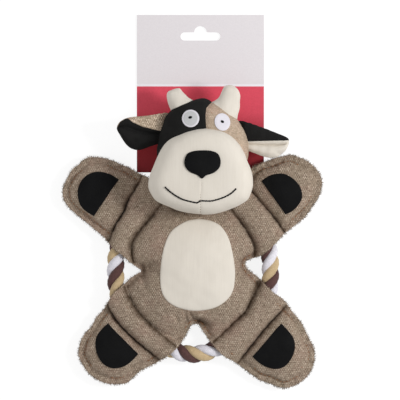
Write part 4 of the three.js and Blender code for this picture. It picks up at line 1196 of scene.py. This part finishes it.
chin = smooth_line(pixels([(201.8, 179), (201.1, 186), (200.4, 194), (200.4, 206), (200.5, 213)], 55), step=1.9)
stitches = []
for a, b in zip(chin[:-1], chin[1:]):
    flat = np.linspace(a + (b - a) * 0.26, a + (b - a) * 0.74, 4)
    stitches.append(np.column_stack([flat, muzzle.top(flat) + [-0.75, -0.30, -0.30, -0.75]]))
chin_stitches = piece("chin_stitches", *tubes(stitches, [0.22, 0.3, 0.3, 0.22], 6), THREAD)
place(chin_stitches, "head", "canvas")


# ---- horns ----


def loft(name, rings, mat):
    """A closed skin through rings of the same number of points."""
    rings = np.asarray(rings, float)
    count, sides = rings.shape[:2]
    k = np.arange(sides)
    return piece(name, rings.reshape(-1, 3), [skin(count, sides), [k[::-1]], [(count - 1) * sides + k]], mat)


def horn(side, left, right, z, depth, seed, count=46):
    """A cloth horn between its two sides in the photograph, from root to tip."""
    a, b = (evenly(smooth_line(pixels(line, z), step=0.1), count) for line in (left, right))
    middle, half = (a + b) / 2, (b - a) / 2
    turn = circle(40)
    flat = middle[:, None] + half[:, None] * np.cos(turn)[:, None]
    height = z + np.linalg.norm(half, axis=1)[:, None] * depth * np.sin(turn)
    rings = np.dstack([flat, height])
    heart = rings.mean(1, keepdims=True)
    wave = 1 + 0.03 * waves(rings[..., 0], rings[..., 1] + rings[..., 2], 9, seed)
    made = loft(f"{side}_horn_canvas", heart + (rings - heart) * wave[..., None], CREAM)
    place(made, "head", "canvas", f"{side}_horn", fill=0.8)


horn(
    "left",
    [(176, 118), (171.3, 110.9), (168.9, 105.4), (167.2, 100.1), (166.7, 95.3), (167.9, 91.8), (171.6, 89.9),
     (176.2, 88.4), (178.4, 88.2)],
    [(198, 106), (192.6, 100.2), (187.9, 96.8), (184.2, 93.2), (182.2, 91.0), (181.0, 89.5), (180.1, 88.7),
     (179.2, 88.3), (178.6, 88.2)],
    26.0,
    0.85,
    81,
)
horn(
    "right",
    [(206, 106), (211.5, 102.6), (216.0, 99.4), (219.4, 95.7), (221.7, 91.6), (223.2, 88.0), (225.6, 85.8),
     (228.6, 85.0), (230.0, 84.9)],
    [(234, 126), (237.2, 118.3), (238.8, 110.7), (239.8, 104.0), (240.2, 98.4), (239.8, 94.0), (238.2, 90.0),
     (235.2, 86.9), (231.8, 85.2), (230.2, 84.9)],
    27.0,
    0.8,
    82,
)

# ---- ears ----

EARS = {
    "left": {  # across: top edge, fold to the other colour, crease, bottom edge, in pixels down
        "x": [174.0, 168.5, 164, 158.5, 150, 140, 133, 127.5, 123.6, 120.4, 118.4, 117.6],
        "top": [118.0, 113.6, 113.5, 114.4, 116.0, 117.2, 117.9, 119.1, 120.9, 123.2, 125.9, 128.1],
        "ridge": [129.5, 130.5, 131.0, 130.4, 128.6, 125.6, 122.0, 118.6, 119.9, 122.0, 125.0, 127.8],
        "crease": [132.5, 133.5, 133.5, 133.0, 132.6, 131.4, 129.6, 127.4, 126.6, 126.6, 127.2, 128.2],
        "bottom": [137.0, 139.0, 141.0, 143.0, 146.0, 149.2, 148.5, 144.8, 139.6, 134.2, 130.8, 128.8],
        "inner": (BLACK_CLOTH, "black_cloth", "left_ear_front"),
        "outer": (EAR_BURLAP, "burlap", "left_ear_back"),
        "dimple": (136, 141),
    },
    "right": {
        "x": [230.5, 236.5, 242, 247.5, 256, 266, 273, 279, 284.6, 287.2, 288.2],
        "top": [124.0, 121.2, 121.6, 122.9, 125.9, 129.6, 132.5, 134.9, 137.2, 138.7, 140.2],
        "ridge": [139.5, 141.0, 141.2, 141.2, 141.0, 140.8, 140.5, 140.4, 140.2, 140.1, 140.6],
        "crease": [141.5, 143.0, 143.4, 143.8, 144.4, 144.9, 144.9, 144.9, 144.2, 142.8, 141.6],
        "bottom": [144.6, 146.6, 148.0, 149.6, 153.0, 156.4, 156.9, 155.2, 150.4, 145.6, 142.8],
        "inner": (CREAM, "canvas", "right_ear_back"),
        "outer": (BLACK_CLOTH, "black_cloth", "right_ear_front"),
        "dimple": (277.5, 152.5),
    },
}
EAR_Z = 26.5
EAR_COLUMNS = 60


def ear(side, spec):
    """A folded ear: a back face that shows over its upper edge, and a creased inner face."""
    last = len(spec["x"]) - 1
    t = np.linspace(0, last, EAR_COLUMNS)

    def along(key):
        line = smooth_line(np.column_stack([np.arange(last + 1), spec[key]]), step=0.02)
        return np.interp(t, line[:, 0], line[:, 1])

    x, top, ridge, crease, bottom = map(along, ("x", "top", "ridge", "crease", "bottom"))
    full = np.clip(np.sin(np.pi * np.clip((t - 1) / (last - 1), 0.0, 1) ** 1.5) ** 0.5, 0.12, 1)
    z_mid = EAR_Z - np.interp(t, [0, 1.0, 2.6], [5.0, 5.0, 0.0])
    z_top = z_mid + full
    z_ridge = z_mid + 6.0 * full
    z_crease = z_mid + 1.2 * full - (1 - np.clip((t - 1) / 2.0, 0, 1))
    z_bottom = z_mid - 0.5 * full
    inner = [
        (ridge, z_ridge),
        (ridge * 0.55 + crease * 0.45, z_ridge * 0.5 + z_crease * 0.5 + 0.9 * full),
        (crease, z_crease),
        (crease * 0.75 + bottom * 0.25, z_crease + 2.6 * full),
        (crease * 0.4 + bottom * 0.6, z_crease + 3.2 * full),
        (crease * 0.15 + bottom * 0.85, z_bottom + 2.4 * full),
        (bottom, z_bottom),
    ]
    outer = [
        (ridge, z_ridge),
        (ridge * 0.6 + top * 0.4, z_ridge + 0.3 * full),
        (ridge * 0.25 + top * 0.75, z_ridge * 0.55 + z_top * 0.45 + 0.6 * full),
        (top, z_top),
        (top * 0.8 + bottom * 0.2, z_mid - 2.6 * full),
        (top * 0.4 + bottom * 0.6, z_mid - 3.4 * full),
        (bottom, z_bottom),
    ]
    for label, knots, rows in (("inner", inner, 30), ("outer", outer, 34)):
        grid = np.empty((EAR_COLUMNS, rows, 3))
        for i, knot in enumerate(np.array(knots).transpose(2, 0, 1)):
            fine = evenly(smooth_line(knot, step=0.05), rows)
            grid[i] = [(*at(x[i], py, 28), z) for py, z in fine]
        grid[..., 2] += 0.25 * waves(grid[..., 0], grid[..., 1], 8, 90)
        if label == "inner":
            away = (grid[..., :2] - at(*spec["dimple"])) / [1.6, 1]
            grid[..., 2] -= 1.5 * bell(np.linalg.norm(away, axis=-1), 1.7)
        grid[:, 0, 2] = z_ridge
        grid[:, -1, 2] = z_bottom
        faces = skin(EAR_COLUMNS, rows, wrap=False)
        if (side == "left") != (label == "inner"):
            faces = faces[:, ::-1]
        mat, slot, node = spec[label]
        made = piece(f"{side}_ear_{label}_cloth", grid.reshape(-1, 3), [faces], mat)
        thick = made.modifiers.new("thick", "SOLIDIFY")
        thick.thickness = 0.7 * MM
        thick.offset = -1
        place(made, f"{side}_ear", slot, node, fill=0.4)


for side, spec in EARS.items():
    ear(side, spec)

# ---- neck, card, hidden pieces ----

neck_low, neck_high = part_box("neck")
neck_x, neck_y = (np.array(neck_low[:2]) + neck_high[:2]) / 2 / MM
rings = []
turn = circle(96)
for t in np.linspace(0, 1, 26):
    gathers = 1 + 0.035 * np.cos(15 * turn + 1.3 * np.sin(2 * turn)) * (1 - 0.5 * t)
    gathers *= 1 - 0.07 * math.sin(math.pi * t)
    x = (18.5 - 5.0 * t) * gathers * np.cos(turn)
    y = (9.6 - 1.4 * t) * gathers * np.sin(turn)
    foot = 12.5 + 4.5 * np.clip((y + 4.0) / 4.0, 0, 1)
    rings.append(np.column_stack([neck_x + x, neck_y + 2.0 + 5.5 * t + y, foot + (33.0 - foot) * t]))
place(loft("neck_cloth", rings, BURLAP), "trunk", "burlap", "neck", fill=0.7)

for name, mat in (
    ("hang_card", plain_card()),
    ("card_pin_1", PIN),
    ("card_pin_2", PIN),
    ("squeaker_bladder", SQUEAKER),
    ("squeaker_reed", SQUEAKER),
    ("rope_join_tape", TAPE),
):
    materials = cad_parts[name].data.materials
    materials.clear()
    materials.append(mat)

# ---- floor, light and camera ----

bpy.ops.mesh.primitive_plane_add(size=6.0, location=(0, 0, -0.0002))
floor = bpy.context.object
floor.name = "floor"
pale = Finish("floor_white", (0.80, 0.80, 0.80), 0.9)
ray = pale.node("LightPath").outputs
seen = pale.math("MAXIMUM", ray["Is Camera Ray"], ray["Is Glossy Ray"])
pale.put(
    pale.shader,
    ("Emission Color", (1, 1, 1, 1)),
    ("Base Color", pale.mixed(seen, (0.80, 0.80, 0.80), (0.20, 0.20, 0.20))),
    ("Emission Strength", pale.times(seen, 0.86)),
)
floor.data.materials.append(pale.material)

world = bpy.data.worlds.new("soft_white")
bpy.context.scene.world = world
world.use_nodes = True
background = world.node_tree.nodes["Background"].inputs
background["Color"].default_value = (1, 1, 1, 1)
background["Strength"].default_value = 0.52


def lamp(name, at_metres, size, power):
    """An area lamp that faces the middle of the toy."""
    data = bpy.data.lights.new(name, "AREA")
    data.energy = power
    data.size = size
    made = add_object(name, data)
    made.location = at_metres
    made.rotation_euler = (Vector((0, 0, 0.02)) - made.location).to_track_quat("-Z", "Y").to_euler()


lamp("key", (0.90, 0.08, 0.86), 0.28, 8.6)
lamp("left", (-1.0, 0.15, 0.62), 0.8, 2.0)

camera_data = bpy.data.cameras.new("camera")
camera = add_object("camera", camera_data)
bpy.context.scene.camera = camera
camera.location = (*VIEW_CENTRE * MM, CAMERA_HEIGHT * MM)
camera_data.sensor_width = 36.0
camera_data.lens = 36.0 * (CAMERA_HEIGHT - SCALE_LEVEL) / (FRAME_WIDTH * PIXEL)
camera_data.clip_start = 0.05
camera_data.clip_end = 20.0

bpy.context.scene.view_settings.view_transform = "Standard"

bpy.context.view_layer.update()
